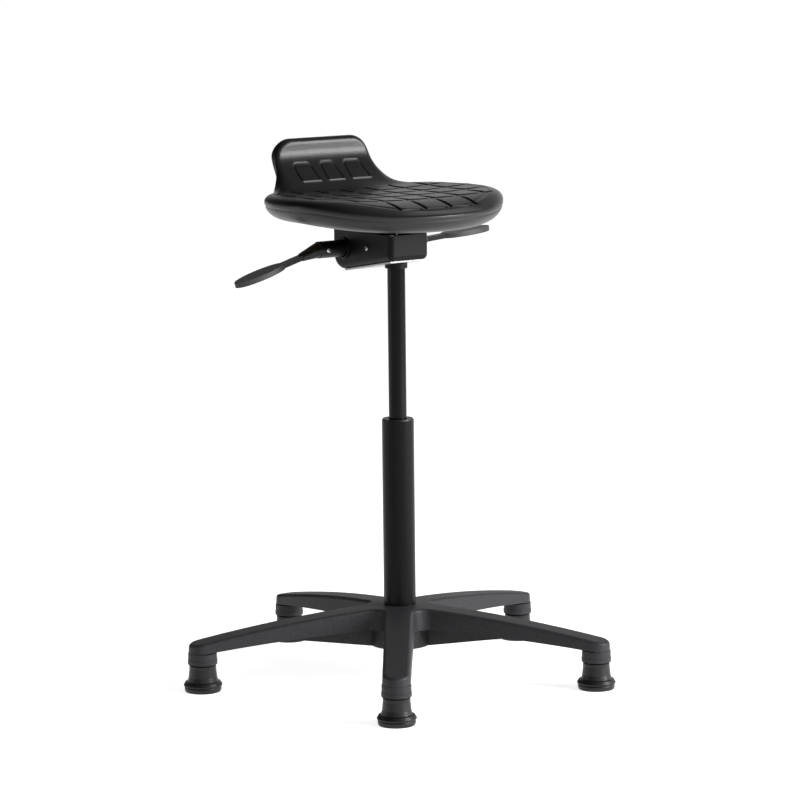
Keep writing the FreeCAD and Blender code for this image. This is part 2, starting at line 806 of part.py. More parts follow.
def make_housing():
    shell = pan(0, size("box_top")).cut(pan(size("box_wall"), size("box_top + box_half")))
    socket = Part.makeCylinder(size("cylinder_radius + socket_wall"), size("box_top"))
    half = size("box_half")
    screw = Part.makeCylinder(size("screw_radius"), 2 * half,
                              point(-half, size("pivot_back"), size("pivot_height")), X_AXIS)
    levers = Part.makeCylinder(size("ring_shank"), 2 * half,
                               point(-half, size("lever_back"), size("lever_height")), X_AXIS)
    return shell.cut([socket, screw, levers])


keep(feature("box", make_housing()), "mechanism_housing")

keep(lathe("socket", [
    ("cylinder_radius", "socket_start"), ("cylinder_radius + socket_wall", "socket_start"),
    ("cylinder_radius + socket_wall", "socket_end"),
    ("cylinder_radius - cylinder_taper * (socket_end - taper_start)"
     " / (cylinder_top - edge_break - taper_start)", "socket_end"),
    ("cylinder_radius", "taper_start")]), "taper_socket")

under_front = box_under("-plate_under_front")
under_back = box_under("plate_under_back")
under_plate = profile("under_plate", "YZ_Plane", [
    ("-plate_under_front", under_front), ("-plate_under_front", f"{under_front} - plate_under_wall"),
    ("plate_under_back", f"{under_back} - plate_under_wall"), ("plate_under_back", under_back)],
    "2 * plate_under_half", middle=True)
under_hole = primitive("Cylinder", "under_hole", Radius="cylinder_radius + socket_wall",
                       Height="socket_length + 2 * plate_under_hole_room",
                       z="socket_start - plate_under_hole_room")
keep(cut("under_plate", under_plate, under_hole), "bottom_plate")

# Seat tilt: axle between the housing walls, held by a screw from each side.

axle = ring("axle", 0, "axle_radius", "-box_inside", "box_inside")
bind(turned(axle, Y_AXIS, 90), y="pivot_back", z="pivot_height")
screw_holes = []
screws = []
for side in (-1, 1):
    face = "-box_inside" if side < 0 else "box_inside"
    inward = ring(f"screw_{2 + side}", 0, "screw_radius", "-screw_depth", "box_wall")
    head = lathe(f"screw_head_{2 + side}", [
        (0, "box_wall"), ("screw_head_radius", "box_wall"),
        ("screw_head_radius", "box_wall + screw_head_height * screw_rim_share"),
        ("screw_head_radius * head_top_share", "box_wall + screw_head_height"),
        ("screw_radius * screw_slot_share", "box_wall + screw_head_height"),
        ("screw_radius * screw_slot_share", "box_wall + screw_head_height * screw_slot_share"),
        (0, "box_wall + screw_head_height * screw_slot_share")])
    hole = ring(f"screw_hole_{2 + side}", 0, "screw_radius", "-screw_depth", "box_wall")
    for item in (inward, head, hole):
        bind(turned(item, Y_AXIS, 90 * side), x=face, y="pivot_back", z="pivot_height")
    screws.append(fuse(f"screw_{2 + side}", inward, head))
    screw_holes.append(hole)
keep(cut("axle", axle, *screw_holes), "pivot_axle")
keep(group("screws", screws), "axle_screws")

bushes = []
for side in (-1, 1):
    bush = ring(f"axle_bush_{2 + side}", "axle_radius + run_gap", "axle_bush_radius", 0, "ear_wall")
    turned(bush, Y_AXIS, 90)
    bushes.append(bind(bush, x="-ear_outside" if side < 0 else "ear_inside",
                       y="pivot_back", z="pivot_height"))
keep(group("axle_bushes", bushes), "axle_bushes")

helix = primitive("Helix", "spring_line", Radius="axle_radius + spring_wire / 2 + free_gap",
                  Pitch="spring_wire + spring_space",
                  Height="(spring_wire + spring_space) * spring_turns")
wire = primitive("Circle", "spring_section", Radius="spring_wire / 2")
turned(wire, X_AXIS, 90)
bind(wire, x="axle_radius + spring_wire / 2 + free_gap")
spring = doc.addObject("Part::Sweep", "spring")
spring.Sections = [wire]
spring.Spine = (helix, ["Edge1"])
spring.Solid = True
spring.Frenet = True
bind(turned(spring, Y_AXIS, 90), x="spring_start", y="pivot_back", z="pivot_height")
keep(spring, "tilt_spring")

# Seat plate: pressed steel with two ears down to the axle.

plate = profile("plate", "XY_Plane", [
    ("-seat_plate_half", "-seat_plate_front"), ("seat_plate_half", "-seat_plate_front"),
    ("seat_plate_half", "seat_plate_back"), ("-seat_plate_half", "seat_plate_back")],
    "seat_plate_wall")
bind(round_corners(plate, "seat_plate_round"), z="seat_plate_height")
ears = []
for side in (-1, 1):
    start = "-ear_outside" if side < 0 else "ear_inside"
    ear = profile(f"ear_{2 + side}", "YZ_Plane", [
        ("pivot_back - ear_half_length", "seat_plate_height"),
        ("pivot_back - ear_eye_radius", "pivot_height"),
        ("pivot_back + ear_eye_radius", "pivot_height"),
        ("pivot_back + ear_half_length", "seat_plate_height")], "ear_wall")
    eye = primitive("Cylinder", f"eye_{2 + side}", Radius="ear_eye_radius", Height="ear_wall")
    bind(ear, x=start)
    bind(turned(eye, Y_AXIS, 90), x=start, y="pivot_back", z="pivot_height")
    ears += [ear, eye]
eye_hole = primitive("Cylinder", "eye_hole", Radius="axle_bush_radius", Height="2 * box_half")
bind(turned(eye_hole, Y_AXIS, 90), x="-box_half", y="pivot_back", z="pivot_height")
bolt_holes = []
for side in (-1, 1):
    for place in ("-bolt_front", "bolt_back"):
        bolt_holes.append(primitive(
            "Cylinder", f"bolt_hole_{len(bolt_holes)}", Radius="bolt_radius",
            Height="seat_plate_wall", x=f"{side} * bolt_half", y=place, z="seat_plate_height"))
plate_solid = cut("seat_plate", fuse("plate", plate, *ears), eye_hole, *bolt_holes)
keep(plate_solid, "seat_plate")


# Tilt clamp: a slotted quadrant under the seat plate, squeezed against a bracket in the pan.

def make_quadrant():
    """A plate hanging from the seat plate, with an arc slot about the tilt axle."""
    pivot_y, pivot_z = size("pivot_back"), size("pivot_height")
    arm = hypot(size("clamp_back") - pivot_y, size("clamp_height") - pivot_z)
    start = -asin((pivot_z - size("clamp_height")) / arm)
    end = start - radians(size("tilt_range"))
    slot = size("clamp_radius + free_gap")
    edge = slot + size("quadrant_edge")
    x = size("quadrant_start")

    def at(radius, angle):
        return point(x, pivot_y + radius * cos(angle), pivot_z + radius * sin(angle))

    def band(half):
        """The slot's own form, or its rim: an arc band with round ends."""
        middle = (start + end) / 2
        edges = [
            Part.Arc(at(arm + half, start), at(arm + half, middle), at(arm + half, end)).toShape(),
            Part.Arc(at(arm + half, end), at(arm, end - half / arm), at(arm - half, end)).toShape(),
            Part.Arc(at(arm - half, end), at(arm - half, middle), at(arm - half, start)).toShape(),
            Part.Arc(at(arm - half, start), at(arm, start + half / arm),
                     at(arm + half, start)).toShape()]
        return Part.Face(Part.Wire(edges)).extrude(point(size("quadrant_wall"), 0, 0))

    low = at(arm - edge, start)
    high = at(arm + edge, start)
    top = size("seat_plate_height")
    hanger = [point(x, low.y, low.z), point(x, high.y, high.z), point(x, high.y + edge, top),
              point(x, low.y - edge, top)]
    hanger = Part.Face(Part.makePolygon(hanger + hanger[:1]))
    hanger = hanger.extrude(point(size("quadrant_wall"), 0, 0))
    return hanger.fuse(band(edge)).cut(band(slot)).removeSplitter()


keep(feature("quadrant", make_quadrant()), "tilt_quadrant")

bracket = profile("bracket", "YZ_Plane", [
    ("bracket_front", box_under("bracket_front") + " + box_wall"),
    ("bracket_back", box_under("bracket_back") + " + box_wall"),
    ("bracket_back", "bracket_low"), ("bracket_step", "bracket_low"),
    ("bracket_step", "bracket_high"), ("bracket_front", "bracket_high")], "bracket_wall")
bind(bracket, x="bracket_start")
bracket_bore = primitive("Cylinder", "bracket_bore", Radius="clamp_radius", Height="bracket_wall")
bind(turned(bracket_bore, Y_AXIS, 90), x="bracket_start", y="clamp_back", z="clamp_height")
plunger_bore = primitive("Cylinder", "plunger_bore", Radius="plunger_radius + run_gap",
                         Height="plunger_length + plunger_room", x="plunger_across",
                         y="lever_back", z="plunger_top - plunger_length - plunger_room")
keep(cut("bracket", bracket, bracket_bore, plunger_bore), "clamp_bracket")
plunger = primitive("Cylinder", "plunger", Radius="plunger_radius", Height="plunger_length",
                    x="plunger_across", y="lever_back", z="plunger_top - plunger_length")
keep(plunger, "release_plunger")


def on_clamp(item, start):
    """Set a turned piece along the clamp bolt, which lies across the pan."""
    turned(item, Y_AXIS, 90)
    return bind(item, x=start, y="clamp_back", z="clamp_height")


friction_start = "quadrant_start - friction_gap - friction_wall"
keep(on_clamp(lathe("clamp_bolt", [
    (0, "-clamp_head_height"), ("clamp_head_radius", "-clamp_head_height"),
    ("clamp_head_radius", 0), ("clamp_radius", 0),
    ("clamp_radius", f"bracket_end + disc_height + nut_height - ({friction_start})"),
    (0, f"bracket_end + disc_height + nut_height - ({friction_start})")]), friction_start),
    "clamp_bolt")
frictions = []
for number, start in enumerate((friction_start, "quadrant_end + friction_gap")):
    disc = ring(f"friction_{number}", "clamp_radius", "friction_radius", 0, "friction_wall")
    frictions.append(on_clamp(disc, start))
keep(group("frictions", frictions), "friction_washers")
cup = lathe("disc_spring", [
    ("clamp_radius", "disc_height - disc_wall"), ("friction_radius - disc_wall", 0),
    ("friction_radius", 0), ("friction_radius", "disc_wall"),
    ("clamp_radius + disc_wall", "disc_height"), ("clamp_radius", "disc_height")])
keep(on_clamp(cup, "bracket_end"), "disc_spring")
nut = primitive("Prism", "clamp_hex", Polygon="6", Circumradius="clamp_head_radius + nut_corner",
                Height="nut_height")
nut_bore = primitive("Cylinder", "clamp_nut_bore", Radius="clamp_radius", Height="nut_height")
on_clamp(nut, "bracket_end + disc_height")
on_clamp(nut_bore, "bracket_end + disc_height")
keep(cut("clamp_nut", nut, nut_bore), "clamp_nut")


# Levers: one on each side, the right one for height and the left one for tilt.

def from_side(item, side, out):
    """Set a piece that is turned about Z so that it points out of one side wall."""
    turned(item, Y_AXIS, 90 * side)
    return bind(item, x=f"{side} * ({out})", y="lever_back", z="lever_height")


def outward(side, slope, along, across, up):
    """A point of a lever past its bend: along the blade, across it and square to it."""
    tilt = radians(slope)
    return point(side * (size("bend") + along * cos(tilt) - up * sin(tilt)),
                 size("lever_back") + across,
                 size("lever_height") + along * sin(tilt) + up * cos(tilt))


def blade(side, slope, start, end, width, height):
    """A flat bar along the blade, with a rectangular section."""
    corners = [outward(side, slope, start, across, up)
               for across, up in ((-width / 2, -height / 2), (width / 2, -height / 2),
                                  (width / 2, height / 2), (-width / 2, height / 2))]
    face = Part.Face(Part.makePolygon(corners + corners[:1]))
    return face.extrude(outward(side, slope, end, 0, 0) - outward(side, slope, start, 0, 0))


def oval(side, slope, along, width, height):
    """A round-ended section across the blade."""
    half, rise = width / 2, height / 2
    flat = half - rise
    places = [(-flat, -rise), (flat, -rise), (half, 0), (flat, rise), (-flat, rise), (-half, 0)]
    spots = [outward(side, slope, along, across, up) for across, up in places]
    return Part.Wire([
        Part.makeLine(spots[0], spots[1]), Part.Arc(spots[1], spots[2], spots[3]).toShape(),
        Part.makeLine(spots[3], spots[4]), Part.Arc(spots[4], spots[5], spots[0]).toShape()])


def crosswise(side, out, radius):
    """A round bar across a lever, for the hole of a rivet or of the fulcrum pin."""
    reach = size("ring_radius")
    return Part.makeCylinder(radius, 2 * reach, point(
        side * size(out), size("lever_back") - reach, size("lever_height")), Y_AXIS)


def make_rod(side, slope, inner_end):
    """A round bar through the sleeve, then flattened and bent along the blade."""
    start = size(inner_end)
    bar = Part.makeCylinder(size("lever_rod_radius"), size("bend") - start,
                            point(side * start, size("lever_back"), size("lever_height")),
                            X_AXIS * side)
    ball = Part.makeSphere(size("lever_rod_radius"),
                           point(side * size("bend"), size("lever_back"), size("lever_height")))
    flat = blade(side, slope, 0, size("neck_length"), size("neck_width"), size("neck_height"))
    holes = [crosswise(side, "box_half + rivet_out", size("rivet_radius")),
             crosswise(side, "box_half", size("lever_pin_radius + run_gap"))]
    return bar.multiFuse([ball, flat]).cut(holes).removeSplitter()


def make_sleeve(side, rod):
    sleeve = Part.makeCylinder(size("sleeve_radius"), size("sleeve_end - sleeve_start"), point(
        side * size("sleeve_start"), size("lever_back"), size("lever_height")), X_AXIS * side)
    outer_end = [edge for edge in sleeve.Edges
                 if abs(edge.CenterOfMass.x - side * size("sleeve_end")) < 0.01]
    return sleeve.makeFillet(size("sleeve_round"), outer_end).cut([
        rod, crosswise(side, "box_half + rivet_out", size("rivet_radius")),
        crosswise(side, "box_half", size("lever_pin_radius + run_gap"))])


def make_boot(side, slope, rod, sleeve):
    """A moulded boot that tapers from the sleeve's end down to the flat neck."""
    start = size("boot_start")
    end = start + size("boot_length")
    wide = oval(side, slope, start, size("boot_wide"), size("boot_wide_height"))
    narrow = oval(side, slope, end, size("boot_narrow"), size("boot_narrow_height"))
    return Part.makeLoft([wide, narrow], True, True).cut([rod, sleeve])


def make_paddle(side, slope, rod):
    """An oval handle moulded over the end of the neck, thinner towards its rim."""
    start = size("paddle_start")
    length, width = size("paddle_length"), size("paddle_width")
    middle = outward(side, slope, start + length / 2, 0, 0)
    height = size("paddle_height")
    stretch = FreeCAD.Matrix()
    stretch.scale(length / 2, width / 2, 1)
    crown = FreeCAD.Matrix()
    crown.scale(*(size("paddle_crown_" + word) for word in ("length", "width", "height")))
    disc = Part.makeCylinder(1, height).transformGeometry(stretch)
    disc.translate(point(0, 0, -height / 2))
    solid = disc.common(Part.makeSphere(1).transformGeometry(crown))
    solid.rotate(point(0, 0, 0), Y_AXIS, -slope if side > 0 else slope)
    solid.translate(middle)
    return solid.cut(rod)


pins = []
for side, word, slope, inner_end in ((-1, "lift", -size("lift_drop"), "lift_rod_end"),
                                     (1, "tilt", size("tilt_rise"), "tilt_rod_end")):
    rod = make_rod(side, slope, inner_end)
    sleeve = make_sleeve(side, rod)
    keep(feature(word + "_lever_rod", rod), word + "_lever_rod")
    keep(feature(word + "_lever_sleeve", sleeve), word + "_lever_sleeve")
    keep(feature(word + "_lever_boot", make_boot(side, slope, rod, sleeve)), word + "_lever_boot")
    keep(feature(word + "_paddle", make_paddle(side, slope, rod)), word + "_lever_paddle")
    rivet = lathe(word + "_rivet", [
        (0, "-sleeve_radius - rivet_head_height"),
        ("rivet_head_radius * head_top_share", "-sleeve_radius - rivet_head_height"),
        ("rivet_head_radius", "-sleeve_radius"), ("rivet_radius", "-sleeve_radius"),
        ("rivet_radius", "sleeve_radius"), ("rivet_head_radius", "sleeve_radius"),
        ("rivet_head_radius * head_top_share", "sleeve_radius + rivet_head_height"),
        (0, "sleeve_radius + rivet_head_height")])
    turned(rivet, X_AXIS, 90)
    bind(rivet, x=f"{side} * (box_half + rivet_out)", y="lever_back", z="lever_height")
    keep(rivet, word + "_lever_rivet")
    collar = from_side(lathe(word + "_ring", [
        ("ring_bore", "-box_wall"), ("ring_shank", "-box_wall"), ("ring_shank", 0),
        ("ring_radius", 0), ("ring_radius", "ring_stand - edge_break"),
        ("ring_radius - edge_break", "ring_stand"), ("ring_bore", "ring_stand")]), side, "box_half")
    pin = primitive("Cylinder", word + "_pin", Radius="lever_pin_radius",
                    Height="2 * lever_pin_reach")
    turned(pin, X_AXIS, 90)
    bind(pin, x=f"{side} * box_half", y="lever_back + lever_pin_reach", z="lever_height")
    pins.append(pin)
    keep(cut(word + "_ring", collar, pin), word + "_lever_ring")
keep(group("lever_pins", pins), "lever_pins")


def make_trigger():
    """A bent flat arm from the lift rod up and forwards over the valve pin."""
    wall = size("trigger_wall")
    x = wall - size("trigger_outside")
    back, low = size("lever_back"), size("lever_height - lever_rod_radius - trigger_edge")
    width = size("trigger_width")
    top = size("trigger_height") + wall
    stand = Part.makeBox(wall, width, top - low, point(x, back - width / 2, low))
    corners = [point(x, back + width / 2, top - wall), point(x, back - width / 2, top - wall),
               point(-width / 2, 0, top - wall), point(-width / 2, -width / 2, top - wall),
               point(width / 2, -width / 2, top - wall), point(width / 2, 0, top - wall),
               point(x + width, back + width / 2, top - wall)]
    arm = Part.Face(Part.makePolygon(corners + corners[:1])).extrude(point(0, 0, wall))
    hole = Part.makeCylinder(size("lever_rod_radius"), 3 * wall,
                             point(x - wall, back, size("lever_height")), X_AXIS)
    return stand.fuse(arm).cut(hole).removeSplitter()


keep(feature("trigger", make_trigger()), "lift_trigger")

# Seat: a moulded foam seat with a raised lip behind, on a stiff insert bolted to the plate.

insert = profile("insert", "XY_Plane", [
    ("-insert_half", "-insert_front"), ("insert_half", "-insert_front"),
    ("insert_half", "insert_back"), ("-insert_half", "insert_back")], "insert_height")
bind(round_corners(insert, "insert_round"), z="seat_plate_top")

barrels = []
bolts = []
washers = []
for side in (-1, 1):
    for place in ("-bolt_front", "bolt_back"):
        number = len(bolts)
        where = {"x": f"{side} * bolt_half", "y": place}
        under = "seat_plate_height - bolt_washer_height"
        bolt = lathe(f"bolt_{number}", [
            (0, f"{under} - bolt_head_height"), ("bolt_head_radius", f"{under} - bolt_head_height"),
            ("bolt_head_radius", under), ("bolt_radius", under),
            ("bolt_radius", "seat_plate_top + nut_barrel_height - edge_break"),
            (0, "seat_plate_top + nut_barrel_height - edge_break")])
        washer = ring(f"bolt_washer_{number}", "bolt_radius", "bolt_washer_radius", under,
                      "seat_plate_height")
        barrel = lathe(f"barrel_{number}", [
            ("bolt_radius", "seat_plate_top"), ("nut_barrel_radius", "seat_plate_top"),
            ("nut_barrel_radius", "seat_plate_top + nut_barrel_height"),
            (0, "seat_plate_top + nut_barrel_height"), (0, "seat_plate_top + nut_barrel_height - edge_break"),
            ("bolt_radius", "seat_plate_top + nut_barrel_height - edge_break")])
        bolts.append(bind(bolt, **where))
        washers.append(bind(washer, **where))
        barrels.append(bind(barrel, **where))
barrel_holes = []
for number, barrel in enumerate(barrels):
    side = -1 if number < 2 else 1
    barrel_holes.append(primitive(
        "Cylinder", f"barrel_hole_{number}", Radius="nut_barrel_radius", Height="nut_barrel_height",
        x=f"{side} * bolt_half", y="bolt_back" if number % 2 else "-bolt_front",
        z="seat_plate_top"))
keep(cut("insert", insert, *barrel_holes), "seat_insert")
keep(group("bolts", bolts), "seat_bolts")
keep(group("washers", washers), "bolt_washers")
keep(group("barrels", barrels), "insert_nuts")


def seat_outline(inset, front_height, back_height):
    """A rounded oval on a slant, fuller behind than in front, moved inwards by an inset."""
    half = size("seat_half") - inset
    front, back = size("seat_front") - inset, size("seat_back") - inset
    depth = (front + back) / 2
    slant = (back_height - front_height) / (front + back)
    places = []
    count = 32
    for number in range(count):
        turn = 2 * pi * number / count
        across, along = cos(turn), sin(turn)
        power = 2 / size("seat_square_back" if along > 0 else "seat_square_front")
        x = half * copysign(abs(across) ** power, across)
        y = depth * copysign(abs(along) ** power, along) + (back - front) / 2
        places.append(point(x, y, front_height + slant * (y + front)))
    curve = Part.BSplineCurve()
    curve.interpolate(places, PeriodicFlag=True)
    return Part.Wire([curve.toShape()])


def curve_through(x, places):
    """A smooth curve in a side view, through formulas for (back, rise over the seat plate)."""
    curve = Part.BSplineCurve()
    curve.interpolate([point(x, size(back), size("seat_plate_height") + size(rise))
                       for back, rise in places])
    return curve.toShape()


def side_face(x, curves, corners):
    """The face in a side view between curves and the straight lines that join and close them."""
    edges = []
    ends = [curve.valueAt(curve.ParameterRange[0]) for curve in curves[1:]]
    for curve, follower in zip(curves, ends + [None]):
        edges.append(curve)
        if follower is not None:
            edges.append(Part.makeLine(curve.valueAt(curve.ParameterRange[1]), follower))
    path = [curves[-1].valueAt(curves[-1].ParameterRange[1])]
    path += [point(x, size(back), size(height)) for back, height in corners]
    path.append(curves[0].valueAt(curves[0].ParameterRange[0]))
    edges += Part.makePolygon(path).Edges
    return Part.Face(Part.Wire(edges))


def make_cushion():
    """The rounded oval body, with the top and bottom of its side view and a shallow dish."""
    plate = size("seat_plate_height")
    under = (plate - size("seat_nose_drop"), plate + size("seat_tail_rise"))
    wide = (plate + size("seat_wide_front_rise"), plate + size("seat_wide_back_rise"))
    brim = plate + size("seat_brim_rise")

    def share(part, low, high):
        return [a + (b - a) * part for a, b in zip(low, high)]

    body = Part.makeLoft([
        seat_outline(size("seat_under_inset"), *under),
        seat_outline(size("seat_cheek_inset"), *share(size("seat_cheek_share"), under, wide)),
        seat_outline(0, *wide),
        seat_outline(size("seat_shoulder_inset"), *share(size("seat_shoulder_share"), wide, (brim, brim))),
        seat_outline(size("seat_brim_inset"), brim, brim)], True, False)
    half = size("seat_half")
    top = curve_through(-half, [
        ("seat_back + seat_margin", "seat_rim_rise"), ("seat_back / 2", "seat_rim_rise"),
        (0, "seat_middle_rise"), ("-seat_slope_front", "seat_slope_rise"),
        ("-seat_front", "seat_nose_rise"), ("-seat_front - seat_margin", "seat_nose_rise")])
    view = side_face(-half, [top], [
        ("-seat_front - seat_margin", "seat_plate_height - seat_nose_drop - seat_margin"),
        ("-seat_front + seat_margin", "seat_plate_height - seat_nose_drop - seat_margin"),
        ("-seat_plate_front - seat_margin", "seat_under"), ("seat_plate_back", "seat_under"),
        ("seat_back + seat_margin", "seat_under")])
    dish = Part.makeSphere(size("seat_dish_radius"), point(
        0, size("seat_dish_back"), plate + size("seat_dish_rise + seat_dish_radius")))
    return body.common(view.extrude(point(2 * half, 0, 0))).cut(dish)


def make_lip():
    """The raised back lip: its side view, cut to a front view with round corners and flared foot."""
    half, flare, corner = size("lip_half"), size("lip_flare"), size("lip_corner")
    spread = half + flare
    rear = curve_through(-spread, [
        ("lip_root_back", "lip_root_rise"), ("lip_foot_back", "seat_rim_rise"),
        ("lip_top_back", "lip_top_rise - lip_corner"), ("lip_top_back", "lip_top_rise")])
    face = curve_through(-spread, [
        ("lip_top_back - lip_wall", "lip_top_rise"), ("lip_face_back", "lip_face_rise"),
        ("lip_bend_back", "lip_bend_rise"), ("lip_toe_back", "lip_toe_rise")])
    side = side_face(-spread, [rear, face], [("lip_toe_back", "lip_root")])
    solid = side.extrude(point(2 * spread, 0, 0))

    low, high, root = size("seat_rim_height - lip_flare_sink"), size("lip_top"), size("lip_root")
    bow = flare * (1 - cos(pi / 4))
    nip = corner * (1 - cos(pi / 4))
    outline = []
    for hand in (-1, 1):
        outline.append([
            Part.makeLine(point(0, 0, root), point(hand * spread, 0, root)),
            Part.makeLine(point(hand * spread, 0, root), point(hand * spread, 0, low)),
            Part.Arc(point(hand * spread, 0, low), point(hand * (half + bow), 0, low + bow),
                     point(hand * half, 0, low + flare)).toShape(),
            Part.makeLine(point(hand * half, 0, low + flare), point(hand * half, 0, high - corner)),
            Part.Arc(point(hand * half, 0, high - corner), point(hand * (half - nip), 0, high - nip),
                     point(hand * (half - corner), 0, high)).toShape(),
            Part.makeLine(point(hand * (half - corner), 0, high), point(0, 0, high))])
    front = Part.Face(Part.Wire(outline[0] + outline[1][::-1]))
    depth = point(0, size("lip_top_back + lip_wall"), 0)
    solid = solid.common(front.extrude(depth))

    oval = Part.Face(seat_outline(size("seat_shoulder_inset"), root, root))
    middle = Part.makeBox(2 * half, depth.y, high - root, point(-half, 0, root))
    return solid.common(oval.extrude(point(0, 0, high - root)).fuse(middle))


def make_foam():
    """Cushion and lip in one, with the pocket that the insert fills."""
    pocket = Part.makeBox(2 * size("insert_half"), size("insert_front + insert_back"),
                          size("insert_height"), point(
                              -size("insert_half"), -size("insert_front"), size("seat_plate_top")))
    posts = [edge for edge in pocket.Edges if edge.BoundBox.ZLength > 1]
    pocket = pocket.makeFillet(size("insert_round"), posts)
    return make_cushion().fuse(make_lip()).cut(pocket).removeSplitter()


keep(feature("foam", make_foam()), "seat_foam")

# Build, test and write every piece.

doc.recompute()
for item in doc.Objects:
    if "Invalid" in item.State or "Error" in item.State:
        raise RuntimeError(f"{item.Name} ({item.Label}) failed: {item.State}")
os.makedirs("parts", exist_ok=True)
for item in nodes:
    shape = item.Shape
    if shape.isNull() or not shape.isValid() or not shape.Solids:
        raise RuntimeError(f"{item.Label} has no sound solid")
    shape.exportStep(os.path.join("parts", item.Label + ".step"))
    print(f"{item.Label}: {len(shape.Solids)} solid, {shape.Volume / 1000:.1f} cm3")
print(len(nodes), "pieces written")
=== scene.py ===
"""Perch stool dressed for a photograph: nylon star base, gas lift, tilt mechanism and a moulded foam seat."""

import bpy
import numpy as np
from mathutils import Matrix


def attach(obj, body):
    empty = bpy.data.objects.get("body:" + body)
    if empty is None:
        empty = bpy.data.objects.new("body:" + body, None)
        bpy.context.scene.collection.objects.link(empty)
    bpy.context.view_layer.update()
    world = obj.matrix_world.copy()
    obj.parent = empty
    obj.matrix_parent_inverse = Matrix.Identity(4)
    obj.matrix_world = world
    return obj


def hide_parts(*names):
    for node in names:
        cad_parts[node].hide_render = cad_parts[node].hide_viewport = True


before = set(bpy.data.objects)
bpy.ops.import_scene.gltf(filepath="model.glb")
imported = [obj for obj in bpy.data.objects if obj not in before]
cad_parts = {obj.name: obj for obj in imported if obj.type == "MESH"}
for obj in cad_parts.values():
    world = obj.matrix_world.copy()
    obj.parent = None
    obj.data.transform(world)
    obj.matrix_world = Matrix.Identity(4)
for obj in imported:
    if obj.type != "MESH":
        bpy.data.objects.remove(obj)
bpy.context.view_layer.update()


# Studio. A painted white floor under one large soft box to the right of the camera, with a thin strip
# to the left behind. The white room is flagged off on the left and overhead, and the camera stands on
# the sitter's right, a little above the seat. Places are in metres.

def linear(code):
    """The linear colour of an sRGB hex code: c / 12.92 up to 0.04045, above it ((c + 0.055) / 1.055)^2.4."""
    c = np.array([int(code[i:i + 2], 16) for i in (1, 3, 5)]) / 255
    return [*np.where(c <= 0.04045, c / 12.92, ((c + 0.055) / 1.055) ** 2.4), 1.0]


def add(tree, kind, inputs, **settings):
    """Adds a shader node with its settings. Each input is a number, a colour or the output that feeds it."""
    node = tree.nodes.new("ShaderNode" + kind)
    for name, value in settings.items():
        setattr(node, name, value)
    for socket, value in inputs.items():
        if isinstance(value, bpy.types.NodeSocket):
            tree.links.new(value, node.inputs[socket])
        else:
            node.inputs[socket].default_value = value
    return node


def seen_by_eye_or_gloss(tree):
    """1 for rays from the camera, off a gloss or through glass, and 0 for rays that light the object."""
    rays = add(tree, "LightPath", {}).outputs
    either = add(tree, "Math", {0: rays["Is Camera Ray"], 1: rays["Is Glossy Ray"]}, operation="MAXIMUM")
    seen = add(tree, "Math", {0: either.outputs[0], 1: rays["Is Transmission Ray"]}, operation="MAXIMUM")
    return seen.outputs[0]


def standing(across, up, back, place):
    """The matrix whose columns are an object's own three axes and its place."""
    return Matrix(np.vstack([np.column_stack([across, up, back, place]), (0, 0, 0, 1)]).tolist())


# the camera, turned from the front to the sitter's right, tipped down and rolled by these angles
camera_place = (-3.011053, -4.327535, 1.245)
turned, tipped, rolled = np.radians([34.87, 8.72, -0.64])
towards_camera = np.array([-np.sin(turned) * np.cos(tipped), -np.cos(turned) * np.cos(tipped), np.sin(tipped)])
level_right = np.array([np.cos(turned), -np.sin(turned), 0])
level_up = np.cross(towards_camera, level_right)
camera = bpy.data.objects.new("camera", bpy.data.cameras.new("camera"))
bpy.context.scene.collection.objects.link(camera)
bpy.context.scene.camera = camera
camera.data.sensor_width = 36
camera.data.lens = 154.62
camera.data.clip_end = 200
camera.matrix_world = standing(np.cos(rolled) * level_right + np.sin(rolled) * level_up,
                               np.cos(rolled) * level_up - np.sin(rolled) * level_right,
                               towards_camera, camera_place)

floor_reach = 60.0
floor_corners = [(x * floor_reach, y * floor_reach, 0) for x, y in ((-1, -1), (1, -1), (1, 1), (-1, 1))]
floor_mesh = bpy.data.meshes.new("floor")
floor_mesh.from_pydata(floor_corners, [], [(0, 1, 2, 3)])
floor = bpy.data.objects.new("floor", floor_mesh)
bpy.context.scene.collection.objects.link(floor)

# matt emulsion paint: white, and lifted a little for the eye so that only the shadow shows on it
floor_lift = 0.74
floor_paint = bpy.data.materials.new("white_floor_emulsion")
floor_paint.use_nodes = True
tree = floor_paint.node_tree
tree.nodes.clear()
matt = add(tree, "BsdfDiffuse", {"Color": linear("#f4f4f4"), "Roughness": 0.0})
lift = add(tree, "Math", {0: seen_by_eye_or_gloss(tree), 1: floor_lift}, operation="MULTIPLY")
glow = add(tree, "Emission", {"Color": linear("#ffffff"), "Strength": lift.outputs[0]})
both = add(tree, "AddShader", {0: matt.outputs[0], 1: glow.outputs[0]})
add(tree, "OutputMaterial", {"Surface": both.outputs[0]})
floor_mesh.materials.append(floor_paint)

world = bpy.data.worlds.new("studio")
bpy.context.scene.world = world
world.use_nodes = True
tree = world.node_tree
tree.nodes.clear()

